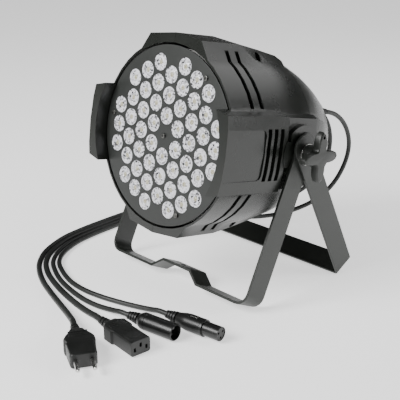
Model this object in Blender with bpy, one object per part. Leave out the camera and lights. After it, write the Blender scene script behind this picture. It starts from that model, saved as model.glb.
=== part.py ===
"""LED par can on a double yoke, with its four leads. Metres, +Z up, lamp facing -Y.

The lamp is drawn about its own axis: y = 0 in the plane of the lenses, y growing towards the back,
z up. It hangs nose-up on the pivot, which carries both yokes. The leads lie in floor coordinates.
"""

import math

import bmesh
import bpy
from mathutils import Matrix, Vector

# ---- Driving dimensions ----
# Stance
PIVOT_HEIGHT = 0.1672          # pivot axis above the floor
NOSE_UP = math.radians(10.2)   # lamp axis above the horizontal
FRONT_LEAN = math.radians(26.3)
REAR_LEAN = math.radians(27.6)

# Barrel and dome
BARREL_R = 0.104               # outer radius
WALL = 0.0022
FRONT_Y = -0.002               # front face of the barrel
DOME_START = 0.080             # the barrel begins to close in here, as a parabola
DOME_REACH = 0.215             # from there to the parabola's tip
PARTING_Y = 0.136              # joint between barrel halves and rear cap
BACK_Y = 0.213                 # flat end of the rear cap
FLANGE = 0.0075                # width of the flange that the rear panel is screwed to
TOP_RIB_RISE = 0.0085          # ridge of the top rib above the barrel
BOTTOM_RIB_RISE = 0.0058
RIB_HALF = 0.040               # half-width of a rib's outer face
SIDE_RIB_RISE = 0.0073         # side ribs beyond the barrel, at their middle
SIDE_RIB_HALF = 0.041
LIP = 0.0185                   # how far the side ribs stand in front of the lenses
LIP_T = 0.0118                 # thickness of that lip at its middle
BOSS_R = 0.031                 # round boss that the yokes bear on

# Light engine
LENS_PITCH = 0.0225
LENS_D = 0.0194
LENS_RINGS = 4                 # rings round the middle; the middle and the six corners stay empty
PANEL_GAP = 0.0025             # black gap round the front panel
PANEL_T = 0.0024
PANEL_FRONT = -0.0015
SCREW_INSET = 0.0108           # outer panel screws, from the panel's edge

# Yokes
STRIP_W = 0.029
STRIP_T = 0.003
YOKE_GAP = 0.0004              # between the two straps, and between strap and boss
FRONT_BEND = 0.015             # outer radius of the front yoke's corners
REAR_BEND = 0.004
JOGGLE_RISE = 0.012
JOGGLE_TOP = 0.022             # half-width of the raised middle, at its top
JOGGLE_FOOT = 0.038            # and at its foot
STRAP_BEYOND = 0.009           # centre of the strap's round end, past the pivot
CLAMP_HOLE_R = 0.0055

# Pivot hardware
PIVOT_Y = 0.102                # behind the lens plane
PIVOT_RISE = 0.0015            # above the lamp axis
BOLT_R = 0.004
TURN_CLEAR = 0.0004            # radial clearance of what turns on the bolt
FIT_GAP = 0.0003               # between pieces that meet
WASHER_T = 0.0015
WASHER_R = 0.012
KNOB_LOBE_R = 0.0285
KNOB_VALLEY_R = 0.0110
KNOB_T = 0.009
KNOB_NECK = 0.0100

# Rear panel
REAR_PANEL_T = 0.0025
GLAND_HEIGHT = 0.035
GLAND_SPACING = 0.0233
GLAND_LENGTH = 0.0115
BUTTON_R = 0.003
BUTTON_PITCH = 0.015
BUTTON_HEIGHT = -0.026
BUTTON_STAND = 0.0015

# Leads
MAINS_D = 0.007
DATA_D = 0.006
CORD_STEP = 0.0165             # distance between the points of a lead's tube

ROUND = 40                     # sides of the large turned pieces
SMALL_ROUND = 16

for obj in list(bpy.data.objects):
    bpy.data.objects.remove(obj, do_unlink=True)


# ---- Materials ----
def material(name, colour, roughness, metallic=0.0, transmission=0.0):
    made = bpy.data.materials.new(name)
    made.use_nodes = True
    shader = made.node_tree.nodes["Principled BSDF"]
    shader.inputs["Base Color"].default_value = (*colour, 1.0)
    shader.inputs["Roughness"].default_value = roughness
    shader.inputs["Metallic"].default_value = metallic
    shader.inputs["Transmission Weight"].default_value = transmission
    made.diffuse_color = (*colour, 1.0)
    return made


HOUSING_BLACK = material("housing_black", (0.030, 0.032, 0.030), 0.42)
PANEL_GREY = material("panel_grey", (0.058, 0.060, 0.058), 0.50)
YOKE_PAINT = material("yoke_paint", (0.060, 0.066, 0.060), 0.45)
LENS_CLEAR = material("lens_clear", (0.90, 0.91, 0.93), 0.08, transmission=0.6)
BOARD_GREEN = material("board_green", (0.04, 0.16, 0.07), 0.50)
BOARD_WHITE = material("board_white", (0.80, 0.80, 0.78), 0.45)
ALUMINIUM = material("aluminium", (0.72, 0.73, 0.74), 0.35, 1.0)
PLATED_STEEL = material("plated_steel", (0.62, 0.62, 0.60), 0.30, 1.0)
BLACK_STEEL = material("black_steel", (0.045, 0.045, 0.045), 0.35, 0.8)
KNOB_PLASTIC = material("knob_plastic", (0.045, 0.047, 0.045), 0.55)
FAN_BLACK = material("fan_black", (0.020, 0.020, 0.022), 0.50)
CORD_RUBBER = material("cord_rubber", (0.035, 0.036, 0.035), 0.60)
PLUG_RUBBER = material("plug_rubber", (0.040, 0.042, 0.040), 0.55)
PLUG_SHELL = material("plug_shell", (0.012, 0.012, 0.012), 0.25, 0.6)
DISPLAY_RED = material("display_red", (0.12, 0.01, 0.01), 0.15)
BUTTON_GREY = material("button_grey", (0.25, 0.25, 0.25), 0.50)


# ---- Places: empties that the pieces hang on ----
def empty(name, parent=None, location=(0, 0, 0), rotation=(0, 0, 0)):
    made = bpy.data.objects.new(name, None)
    bpy.context.scene.collection.objects.link(made)
    made.parent = parent
    made.location = location
    made.rotation_euler = rotation
    return made


ground = empty("ground")
pivot = empty("pivot", ground, (0, 0, PIVOT_HEIGHT))
lamp = empty("lamp", pivot, rotation=(-NOSE_UP, 0, 0))
optic = empty("optic", lamp, (0, -PIVOT_Y, -PIVOT_RISE))


# ---- Tools ----
def piece(name, mesh_maker, paint, parent, smooth=30.0):
    """One object from a bmesh, its normals facing out, its round faces shaded smooth."""
    bmesh.ops.remove_doubles(mesh_maker, verts=mesh_maker.verts, dist=1e-6)
    bmesh.ops.connect_verts_nonplanar(mesh_maker, angle_limit=1e-3, faces=mesh_maker.faces)
    bmesh.ops.recalc_face_normals(mesh_maker, faces=mesh_maker.faces)
    mesh = bpy.data.meshes.new(name)
    mesh_maker.to_mesh(mesh)
    mesh_maker.free()
    mesh.materials.append(paint)
    if smooth:
        mesh.shade_smooth()
        mesh.set_sharp_from_angle(angle=math.radians(smooth))
    made = bpy.data.objects.new(name, mesh)
    bpy.context.scene.collection.objects.link(made)
    made.parent = parent
    return made


def helper(made):
    """Marks a cutter or a guide, which isn't a part of the lamp."""
    made.hide_render = True
    made.display_type = "WIRE"
    return made


def boolean(made, other, operation, solver="EXACT"):
    """The housing, the cap and the fan rotor take MANIFOLD: EXACT leaves open edges in them."""
    step = made.modifiers.new(other.name, "BOOLEAN")
    step.operation = operation
    step.solver = solver
    step.object = other
    helper(other)
    return made


def turn(bm, profile, sides, axis="Y"):
    """Spins (along, radius) points round an axis; a profile that ends on the axis stays open."""
    closed = profile[0][1] > 0 or profile[-1][1] > 0
    verts = [bm.verts.new((radius, along, 0)) for along, radius in profile]
    pairs = list(zip(verts, verts[1:]))
    if closed:
        pairs.append((verts[-1], verts[0]))
    edges = [bm.edges.new(pair) for pair in pairs]
    bmesh.ops.spin(bm, geom=verts + edges, axis=(0, 1, 0), cent=(0, 0, 0),
                   angle=2 * math.pi, steps=sides, use_duplicate=False)
    bmesh.ops.remove_doubles(bm, verts=bm.verts, dist=1e-7)
    if axis == "X":
        lay = Matrix.Rotation(-math.pi / 2, 4, "Z")
        bmesh.ops.transform(bm, matrix=lay, verts=bm.verts)


def turned(name, profile, paint, parent, sides=ROUND, axis="Y", at=(0, 0, 0)):
    bm = bmesh.new()
    turn(bm, profile, sides, axis)
    bmesh.ops.translate(bm, vec=at, verts=bm.verts)
    return piece(name, bm, paint, parent)


def rod(low, high, radius):
    """Profile of a plain round bar."""
    return [(low, 0), (low, radius), (high, radius), (high, 0)]


def loft(bm, rings):
    """Skins rings of equal length and caps both ends."""
    rows = [[bm.verts.new(point) for point in ring] for ring in rings]
    count = len(rows[0])
    for row, following in zip(rows, rows[1:]):
        for i in range(count):
            j = (i + 1) % count
            bm.faces.new((row[i], row[j], following[j], following[i]))
    bm.faces.new(rows[0][::-1])
    bm.faces.new(rows[-1])


def lofted(name, rings, paint, parent, smooth=30.0):
    bm = bmesh.new()
    loft(bm, rings)
    return piece(name, bm, paint, parent, smooth)


def add_box(bm, low, high):
    (x0, y0, z0), (x1, y1, z1) = low, high
    loft(bm, [[(x, y0, z0), (x, y1, z0), (x, y1, z1), (x, y0, z1)] for x in (x0, x1)])


def block(name, low, high, paint, parent):
    bm = bmesh.new()
    add_box(bm, low, high)
    return piece(name, bm, paint, parent, smooth=0)


def add_round(bm, x, z, low, high, radius, sides):
    """A round bar along y."""
    ring = [(x + radius * math.cos(2 * math.pi * k / sides),
             z + radius * math.sin(2 * math.pi * k / sides)) for k in range(sides)]
    loft(bm, [[(a, y, b) for a, b in ring] for y in (low, high)])


def arc(cx, cy, radius, start, end, steps):
    """Points on an arc, angles in degrees."""
    angles = [math.radians(start + (end - start) * i / steps) for i in range(steps + 1)]
    return [(cx + radius * math.cos(a), cy + radius * math.sin(a)) for a in angles]


def rounded(half_u, half_v, corner, steps=3):
    """Outline of a rectangle with round corners."""
    points = []
    for quarter, (su, sv) in enumerate(((1, 1), (-1, 1), (-1, -1), (1, -1))):
        points += arc(su * (half_u - corner), sv * (half_v - corner), corner,
                      90 * quarter, 90 * quarter + 90, steps)
    return points


# ---- Housing ----
SIDE_RIB_R = BARREL_R + SIDE_RIB_RISE
GROOVE_Y = 0.075               # groove across each side rib
GROOVE_W = 0.005
REACH = BARREL_R + 0.031       # past the housing on every side


def dome(y):
    """Outer radius of the housing at y."""
    past = max(0.0, y - DOME_START) / DOME_REACH
    return BARREL_R * (1 - past * past)


def dome_points(low, high, inset, steps):
    ys = [low + (high - low) * i / steps for i in range(steps + 1)]
    return [(y, dome(y) - inset) for y in ys]


def rib_ring(y, middle, edge, half, foot_half, swell=0.0):
    """Cross-section of a rib: a shallow roof over two flanks, as (lateral, radial) points.

    swell is how far the roof stands above a straight line halfway to its edge."""
    foot = BARREL_R - 0.032
    shoulder = (middle + edge) / 2 + swell
    return [(-foot_half, foot), (-half, edge), (-half / 2, shoulder), (0, middle),
            (half / 2, shoulder), (half, edge), (foot_half, foot)], y


def add_rib(bm, sections, quarter):
    rings = []
    for section, y in sections:
        ring = []
        for lateral, radial in section:
            point = Vector((lateral, y, radial))
            ring.append(Matrix.Rotation(quarter * math.pi / 2, 3, "Y") @ point)
        rings.append(ring)
    loft(bm, rings)


def end_rib(rise):
    """Top or bottom rib: level over the barrel, then falling to the dome."""
    ridge = BARREL_R + rise
    roof = ridge - 0.0045
    half = RIB_HALF
    return [
        rib_ring(FRONT_Y, ridge, roof, half, half + 0.024),
        rib_ring(0.055, ridge, roof, half, half + 0.024),
        rib_ring(0.090, ridge - 0.005, roof - 0.004, half - 0.003, half + 0.020),
        rib_ring(0.125, ridge - 0.012, roof - 0.009, half - 0.006, half + 0.016),
        rib_ring(0.140, ridge - 0.0180, roof - 0.0145, half - 0.007, half + 0.013),
        rib_ring(0.150, ridge - 0.027, roof - 0.023, half - 0.008, half + 0.010),
        rib_ring(0.157, ridge - 0.036, roof - 0.031, half - 0.008, half + 0.006),
    ]


def side_rib():
    """Side rib: a lip in front, then the block behind the groove, then the fall to the dome."""
    face = SIDE_RIB_R
    edge = face - 0.0055
    half = SIDE_RIB_HALF
    bow = 0.0012
    return [
        rib_ring(-LIP, face, edge, half, half + 0.0080, bow),
        rib_ring(GROOVE_Y, face - 0.0003, edge + 0.0020, half, half + 0.006, bow),
        rib_ring(GROOVE_Y + GROOVE_W, face - 0.0038, edge - 0.001, half - 0.0015, half + 0.006),
        rib_ring(0.130, face - 0.0048, edge - 0.002, half - 0.003, half + 0.005),
        rib_ring(0.146, face - 0.008, edge - 0.005, half - 0.006, half + 0.002),
        rib_ring(0.159, face - 0.012, edge - 0.009, half - 0.011, half - 0.004),
        rib_ring(0.169, face - 0.018, edge - 0.015, half - 0.017, half - 0.011),
        rib_ring(0.176, face - 0.027, edge - 0.024, half - 0.023, half - 0.018),
    ]


SLOT_W = 0.0058
RIB_SLOTS = (0.0455, 0.0555, 0.0655)
RIB_SLOT_HALF = 0.028
WALL_SLOTS = (0.0315, 0.0470)
WALL_SLOT_FROM = 24.0          # degrees from the top or bottom
WALL_SLOT_TO = 63.5
RECESS_DEPTH = 0.0013
RECESS_END = 0.040
RECESS_HALF = 0.0268
SCREW_RECESS_Y = 0.085
SCREW_RECESS_R = 0.0048
HALF_SCREW_HEIGHT = BARREL_R - 0.0075

bm = bmesh.new()
turn(bm, [(FRONT_Y, 0), (FRONT_Y, BARREL_R)] + dome_points(DOME_START, BACK_Y, 0, 9)
     + [(BACK_Y, 0)], ROUND)
shell = helper(piece("shell", bm, HOUSING_BLACK, optic))

bm = bmesh.new()
ribs = (end_rib(TOP_RIB_RISE), side_rib(), end_rib(BOTTOM_RIB_RISE), side_rib())
for quarter, sections in enumerate(ribs):
    add_rib(bm, sections, quarter)
boolean(shell, piece("ribs", bm, HOUSING_BLACK, optic), "UNION", "MANIFOLD")

BOSS_FACE = SIDE_RIB_R + FIT_GAP
for side, word in ((1, "right"), (-1, "left")):
    boss = turned(f"boss_{word}", rod(0.080, BOSS_FACE, BOSS_R), HOUSING_BLACK, optic, 40,
                  "X", (0, 0, 0))
    boss.rotation_euler = (0, 0, 0 if side > 0 else math.pi)
    boss.location = (0, PIVOT_Y, PIVOT_RISE)
    boolean(shell, boss, "UNION", "MANIFOLD")

bm = bmesh.new()
lip_bore = SIDE_RIB_R - LIP_T
turn(bm, [(-LIP - 0.01, 0), (-LIP - 0.01, lip_bore), (FRONT_Y - 0.0005, lip_bore),
          (FRONT_Y - 0.0005, BARREL_R - WALL)]
     + dome_points(DOME_START, BACK_Y - WALL, WALL, 9) + [(BACK_Y - WALL, 0)], ROUND)
boolean(shell, piece("cavity", bm, HOUSING_BLACK, optic), "DIFFERENCE", "MANIFOLD")
flange_hole = turned("flange_hole", rod(BACK_Y - 0.008, BACK_Y + 0.008, dome(BACK_Y) - FLANGE),
                     HOUSING_BLACK, optic)
boolean(shell, flange_hole, "DIFFERENCE", "MANIFOLD")


def wall_slot(bm, y, start, end):
    """A slot round the barrel between two angles, cut from outside the ribs to the cavity."""
    steps = 8
    inner, outer = BARREL_R - 2.5 * WALL, BARREL_R + 0.012
    rings = []
    for i in range(steps + 1):
        angle = math.radians(start + (end - start) * i / steps)
        ring = []
        for radius, along in ((inner, -1), (outer, -1), (outer, 1), (inner, 1)):
            ring.append((radius * math.sin(angle), y + along * SLOT_W / 2,
                         radius * math.cos(angle)))
        rings.append(ring)
    loft(bm, rings)


bm = bmesh.new()
for y in WALL_SLOTS:
    for low, high in ((WALL_SLOT_FROM, WALL_SLOT_TO), (180 - WALL_SLOT_TO, 180 - WALL_SLOT_FROM)):
        wall_slot(bm, y, low, high)
        wall_slot(bm, y, -high, -low)
for side in (1, -1):
    for y in RIB_SLOTS:
        xs = sorted((side * (BARREL_R - 0.016), side * (SIDE_RIB_R + 0.004)))
        add_box(bm, (xs[0], y - SLOT_W / 2, -RIB_SLOT_HALF), (xs[1], y + SLOT_W / 2, RIB_SLOT_HALF))
    xs = sorted((side * (SIDE_RIB_R - 0.0065), side * (SIDE_RIB_R + 0.004)))
    add_box(bm, (xs[0], GROOVE_Y, BOSS_R * 0.45), (xs[1], GROOVE_Y + GROOVE_W, SIDE_RIB_HALF + 0.01))
    add_box(bm, (xs[0], GROOVE_Y, -SIDE_RIB_HALF - 0.01), (xs[1], GROOVE_Y + GROOVE_W, -BOSS_R * 0.45))
boolean(shell, piece("slots", bm, HOUSING_BLACK, optic), "DIFFERENCE", "MANIFOLD")

bm = bmesh.new()
for side in (1, -1):
    rings = []
    for y, half in ((-LIP - 0.002, RECESS_HALF), (RECESS_END - 0.005, RECESS_HALF),
                    (RECESS_END - 0.0015, RECESS_HALF - 0.0015), (RECESS_END, RECESS_HALF - 0.005)):
        ring = []
        for z, x in ((-half, 0.004), (half, 0.004), (half, -RECESS_DEPTH - 0.0015),
                     (0, -RECESS_DEPTH), (-half, -RECESS_DEPTH - 0.0015)):
            ring.append((side * (SIDE_RIB_R + x), y, z))
        rings.append(ring)
    loft(bm, rings)
boolean(shell, piece("recesses", bm, HOUSING_BLACK, optic), "DIFFERENCE", "MANIFOLD")

for side, word in ((1, "right"), (-1, "left")):
    for up, end in ((1, "top"), (-1, "bottom")):
        hole = turned(f"screw_recess_{end}_{word}", rod(0.034, 0.060, SCREW_RECESS_R), HOUSING_BLACK,
                      optic, SMALL_ROUND, "X")
        hole.rotation_euler = (0, 0, 0 if side > 0 else math.pi)
        hole.location = (0, SCREW_RECESS_Y, up * HALF_SCREW_HEIGHT)
        boolean(shell, hole, "DIFFERENCE", "MANIFOLD")
bolt_way = turned("bolt_way", rod(-REACH, REACH, BOLT_R + TURN_CLEAR), HOUSING_BLACK, optic,
                  SMALL_ROUND, "X", (0, PIVOT_Y, PIVOT_RISE))
boolean(shell, bolt_way, "DIFFERENCE", "MANIFOLD")

SEAM = FIT_GAP / 2
for side, word in ((1, "right"), (-1, "left")):
    xs = sorted((side * SEAM, side * REACH))
    half = block(f"housing_{word}", (xs[0], -REACH, -REACH), (xs[1], PARTING_Y - SEAM, REACH),
                 HOUSING_BLACK, optic)
    boolean(half, shell, "INTERSECT", "MANIFOLD")
cap = block("rear_cap", (-REACH, PARTING_Y + SEAM, -REACH), (REACH, BACK_Y + 0.02, REACH),
            HOUSING_BLACK, optic)
boolean(cap, shell, "INTERSECT", "MANIFOLD")

# ---- Light engine ----
PANEL_R = BARREL_R - WALL - PANEL_GAP


def lens_places():
    places = []
    for q in range(-LENS_RINGS, LENS_RINGS + 1):
        for r in range(-LENS_RINGS, LENS_RINGS + 1):
            ring = max(abs(q), abs(r), abs(q + r))
            corner = ring == LENS_RINGS and 0 in (q, r, q + r)
            if 0 < ring <= LENS_RINGS and not corner:
                places.append((LENS_PITCH * math.sqrt(3) / 2 * q, LENS_PITCH * (r + q / 2)))
    return places


def add_lens_rounds(bm, levels, sides=8):
    """A stack of rings at each lens place: levels are (y, radius)."""
    for x, z in lens_places():
        rings = []
        for y, radius in levels:
            turns = [2 * math.pi * (i + 0.5) / sides for i in range(sides)]
            rings.append([(x + radius * math.cos(a), y, z + radius * math.sin(a)) for a in turns])
        loft(bm, rings)


SCREW_CLOCK = (37.0, 157.0, 277.0)   # outer panel screws, degrees round from the top
PANEL_SCREWS = [(0.0, 0.0)]
for clock in SCREW_CLOCK:
    PANEL_SCREWS.append(((PANEL_R - SCREW_INSET) * math.sin(math.radians(clock)),
                         (PANEL_R - SCREW_INSET) * math.cos(math.radians(clock))))
SCREW_SHANK_R = 0.0013
SCREW_HEAD_R = 0.0026
SCREW_HEAD_T = 0.0016
SCREW_SIDES = 10

panel = turned("front_panel", rod(PANEL_FRONT, PANEL_FRONT + PANEL_T, PANEL_R), PANEL_GREY, optic)
bm = bmesh.new()
add_lens_rounds(bm, [(PANEL_FRONT - 0.002, LENS_D / 2), (PANEL_FRONT + PANEL_T + 0.002, LENS_D / 2)])
boolean(panel, piece("lens_windows", bm, PANEL_GREY, optic), "DIFFERENCE")

LENS_PLATE_Y = PANEL_FRONT + PANEL_T + FIT_GAP
LENS_PLATE_T = 0.0020
lenses = turned("lens_array", rod(LENS_PLATE_Y, LENS_PLATE_Y + LENS_PLATE_T, PANEL_R - 0.001),
                LENS_CLEAR, optic)
bm = bmesh.new()
lens_r = LENS_D / 2 - FIT_GAP
add_lens_rounds(bm, [(LENS_PLATE_Y + 0.001, lens_r), (LENS_PLATE_Y - 0.0012, lens_r),
                     (LENS_PLATE_Y - 0.0024, lens_r * 0.72)])
boolean(lenses, piece("lens_domes", bm, LENS_CLEAR, optic), "UNION")

bm = bmesh.new()
for x, z in PANEL_SCREWS:
    add_round(bm, x, z, -0.006, 0.013, SCREW_SHANK_R + FIT_GAP, SCREW_SIDES)
screw_ways = piece("screw_ways", bm, PANEL_GREY, optic)
boolean(panel, screw_ways, "DIFFERENCE")
boolean(lenses, screw_ways, "DIFFERENCE")
for i, (x, z) in enumerate(PANEL_SCREWS):
    head = PANEL_FRONT - FIT_GAP
    turned(f"panel_screw_{i + 1}",
           [(head - SCREW_HEAD_T, 0), (head - 0.0013, SCREW_HEAD_R * 0.8), (head, SCREW_HEAD_R),
            (head, SCREW_SHANK_R), (0.0115, SCREW_SHANK_R), (0.0115, 0)],
           PLATED_STEEL, optic, SCREW_SIDES, at=(x, 0, z))

BOARD_Y = 0.0120
turned("led_board", rod(BOARD_Y, BOARD_Y + 0.0016, PANEL_R - 0.002), BOARD_WHITE, optic)

SINK_Y = BOARD_Y + 0.0016 + FIT_GAP
SINK_BASE = 0.004
SINK_FINS = 13
FIN_T = 0.0022
FIN_PITCH = 0.0125
FIN_DEPTH = 0.028
sink = turned("heat_sink", rod(SINK_Y, SINK_Y + SINK_BASE, PANEL_R - 0.004), ALUMINIUM, optic)
bm = bmesh.new()
for i in range(SINK_FINS):
    x = (i - (SINK_FINS - 1) / 2) * FIN_PITCH
    reach = math.sqrt((PANEL_R - 0.010) ** 2 - x * x)
    add_box(bm, (x - FIN_T / 2, SINK_Y + SINK_BASE / 2, -reach),
            (x + FIN_T / 2, SINK_Y + SINK_BASE + FIN_DEPTH, reach))
boolean(sink, piece("fins", bm, ALUMINIUM, optic), "UNION")

FAN_SIZE = 0.080
FAN_DEPTH = 0.020
FAN_Y = SINK_Y + SINK_BASE + FIN_DEPTH + 0.004
FAN_HUB_R = 0.015
FAN_BORE_R = 0.038
fan_half = FAN_SIZE / 2
fan = block("fan_frame", (-fan_half, FAN_Y, -fan_half), (fan_half, FAN_Y + FAN_DEPTH, fan_half),
            FAN_BLACK, optic)
boolean(fan, turned("fan_bore", rod(FAN_Y - 0.01, FAN_Y + FAN_DEPTH + 0.01, FAN_BORE_R), FAN_BLACK,
                    optic, 32), "DIFFERENCE")
bm = bmesh.new()
spoke_y = FAN_Y + FAN_DEPTH - 0.003
add_box(bm, (-fan_half + 0.001, spoke_y, -0.002), (fan_half - 0.001, spoke_y + 0.0025, 0.002))
boolean(fan, piece("fan_spoke_level", bm, FAN_BLACK, optic), "UNION")
bm = bmesh.new()
add_box(bm, (-0.002, spoke_y + 0.0001, -fan_half + 0.001), (0.002, spoke_y + 0.0026, fan_half - 0.001))
boolean(fan, piece("fan_spoke_upright", bm, FAN_BLACK, optic), "UNION")
boolean(fan, turned("fan_motor", rod(spoke_y - 0.0004, spoke_y + 0.0029, FAN_HUB_R), FAN_BLACK,
                    optic, SMALL_ROUND), "UNION")

ROTOR_Y = FAN_Y + 0.002
ROTOR_DEPTH = spoke_y - 0.001 - ROTOR_Y
rotor = turned("fan_rotor", rod(0, ROTOR_DEPTH, FAN_HUB_R), FAN_BLACK, optic, 24)
rotor.location = (0, ROTOR_Y, 0)
bm = bmesh.new()
BLADES = 7
for i in range(BLADES):
    spin = Matrix.Rotation(2 * math.pi * i / BLADES, 3, "Y")
    rings = []
    for radius, pitch in ((FAN_HUB_R - 0.002, 0.0055), (FAN_BORE_R - 0.0030, 0.0035)):
        sweep = radius * 0.30
        ring = [(-sweep, ROTOR_DEPTH / 2 - pitch), (-sweep, ROTOR_DEPTH / 2 - pitch + 0.0012),
                (sweep, ROTOR_DEPTH / 2 + pitch + 0.0012), (sweep, ROTOR_DEPTH / 2 + pitch)]
        rings.append([spin @ Vector((a, b, radius)) for a, b in ring])
    loft(bm, rings)
blades = piece("blades", bm, FAN_BLACK, optic)
blades.location = rotor.location
boolean(rotor, blades, "UNION", "MANIFOLD")

# ---- Electronics ----
supply = block("power_supply", (-0.045, 0.078, -0.030), (0.045, 0.124, 0.012), ALUMINIUM, optic)
bevel = supply.modifiers.new("edges", "BEVEL")
bevel.width = 0.002
bevel.segments = 2
control = block("control_board", (-0.045, 0.176, -0.034), (0.045, 0.1776, 0.020), BOARD_GREEN, optic)
bm = bmesh.new()
add_box(bm, (-0.030, 0.170, -0.024), (-0.010, 0.1765, -0.006))
add_box(bm, (0.008, 0.167, -0.020), (0.032, 0.1765, 0.004))
boolean(control, piece("chips", bm, BOARD_GREEN, optic), "UNION")

# ---- Rear panel, display, buttons and glands ----
REAR_Y = BACK_Y + FIT_GAP
REAR_FACE = REAR_Y + REAR_PANEL_T
REAR_R = dome(BACK_Y) - 0.0015
DISPLAY_W = 0.046
DISPLAY_H = 0.020
rear = turned("rear_panel", rod(REAR_Y, REAR_FACE, REAR_R), HOUSING_BLACK, optic)
window = block("display_window", (-DISPLAY_W / 2, REAR_Y - 0.01, -DISPLAY_H / 2 - 0.002),
               (DISPLAY_W / 2, REAR_FACE + 0.01, DISPLAY_H / 2 - 0.002), HOUSING_BLACK, optic)
boolean(rear, window, "DIFFERENCE")
block("display_module",
      (-DISPLAY_W / 2 + FIT_GAP, REAR_Y - 0.012, -DISPLAY_H / 2 - 0.002 + FIT_GAP),
      (DISPLAY_W / 2 - FIT_GAP, REAR_FACE - 0.0006, DISPLAY_H / 2 - 0.002 - FIT_GAP),
      DISPLAY_RED, optic)

BUTTONS = 4
GLANDS = ("xlr_female", "xlr_male", "mains_out", "mains_in")
GLAND_D = {"xlr_female": DATA_D, "xlr_male": DATA_D, "mains_out": MAINS_D, "mains_in": MAINS_D}
GLAND_THREAD_R = 0.0060
GLAND_NUT_R = 0.0080
REAR_SCREW_R = 0.0597
button_xs = [(i - (BUTTONS - 1) / 2) * BUTTON_PITCH for i in range(BUTTONS)]
gland_xs = [(1.5 - i) * GLAND_SPACING for i in range(len(GLANDS))]
rear_screws = [(REAR_SCREW_R * math.cos(math.radians(clock)),
                REAR_SCREW_R * math.sin(math.radians(clock))) for clock in (0, 180, 240, 300)]


bm = bmesh.new()
for x in button_xs:
    add_round(bm, x, BUTTON_HEIGHT, REAR_Y - 0.01, REAR_FACE + 0.01, BUTTON_R + TURN_CLEAR, 12)
for x in gland_xs:
    add_round(bm, x, GLAND_HEIGHT, REAR_Y - 0.01, REAR_FACE + 0.01, GLAND_THREAD_R + FIT_GAP, 16)
for x, z in rear_screws:
    add_round(bm, x, z, REAR_Y - 0.01, REAR_FACE + 0.01, SCREW_SHANK_R + FIT_GAP, SCREW_SIDES)
boolean(rear, piece("rear_holes", bm, HOUSING_BLACK, optic), "DIFFERENCE")
bm = bmesh.new()
for x, z in rear_screws:
    add_round(bm, x, z, BACK_Y - 0.01, BACK_Y + 0.01, SCREW_SHANK_R + FIT_GAP, SCREW_SIDES)
boolean(cap, piece("cap_screw_holes", bm, HOUSING_BLACK, optic), "DIFFERENCE", "MANIFOLD")

for i, x in enumerate(button_xs):
    button = turned(f"menu_button_{i + 1}",
                    [(-0.006, 0), (-0.006, BUTTON_R + 0.0012), (-0.005, BUTTON_R + 0.0012),
                     (-0.005, BUTTON_R), (BUTTON_STAND - 0.0004, BUTTON_R),
                     (BUTTON_STAND, BUTTON_R - 0.0005), (BUTTON_STAND, 0)],
                    BUTTON_GREY, optic, 12)
    button.location = (x, REAR_FACE, BUTTON_HEIGHT)

for name, x in zip(GLANDS, gland_xs):
    bore = GLAND_D[name] / 2 + FIT_GAP
    turned(f"gland_{name}",
           [(REAR_Y - 0.004, bore), (REAR_Y - 0.004, GLAND_THREAD_R),
            (REAR_FACE + FIT_GAP, GLAND_THREAD_R), (REAR_FACE + FIT_GAP, GLAND_NUT_R),
            (REAR_FACE + 0.0055, GLAND_NUT_R), (REAR_FACE + 0.0065, GLAND_NUT_R - 0.0012),
            (REAR_FACE + GLAND_LENGTH, bore + 0.0014), (REAR_FACE + GLAND_LENGTH, bore)],
           PLUG_RUBBER, optic, SMALL_ROUND, at=(x, 0, GLAND_HEIGHT))

for i, (x, z) in enumerate(rear_screws):
    head = REAR_FACE + FIT_GAP
    turned(f"rear_screw_{i + 1}",
           [(head - 0.009, 0), (head - 0.009, SCREW_SHANK_R), (head, SCREW_SHANK_R),
            (head, SCREW_HEAD_R), (head + 0.0013, SCREW_HEAD_R * 0.8), (head + SCREW_HEAD_T, 0)],
           PLATED_STEEL, optic, SCREW_SIDES, at=(x, 0, z))

for up, word in ((1, "top"), (-1, "bottom")):
    turned(f"housing_screw_{word}",
           [(0.0346, 0), (0.0346, 0.0040), (0.0370, 0.0040), (0.0378, 0.0030), (0.0378, 0)],
           BLACK_STEEL, optic, 14, "X", (0, SCREW_RECESS_Y, up * HALF_SCREW_HEIGHT))

# ---- Yokes ----
FRONT_HALF = BOSS_FACE + YOKE_GAP + STRIP_T
REAR_HALF = FRONT_HALF + YOKE_GAP + STRIP_T


def bar_drop(lean):
    """Distance from the pivot to the bar's outer face, with the bar's lower edge on the floor."""
    return (PIVOT_HEIGHT - STRIP_W / 2 * math.sin(lean)) / math.cos(lean)


def strap_path(half, drop, bend, inset, joggle):
    """Half of the U, from the top of the leg to the middle of the bar: (x, distance down)."""
    points = [(half - inset, -0.030)]
    points += [(half - bend + x, drop - bend + y)
               for x, y in arc(0, 0, max(bend - inset, 0.0005), 0, 90, 5)]
    if joggle:
        slope = math.atan2(JOGGLE_RISE, JOGGLE_FOOT - JOGGLE_TOP)
        shift = inset * math.tan(slope / 2)
        points += [(JOGGLE_FOOT + shift, drop - inset),
                   (JOGGLE_TOP + shift, drop - inset - JOGGLE_RISE)]
    return points


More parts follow.
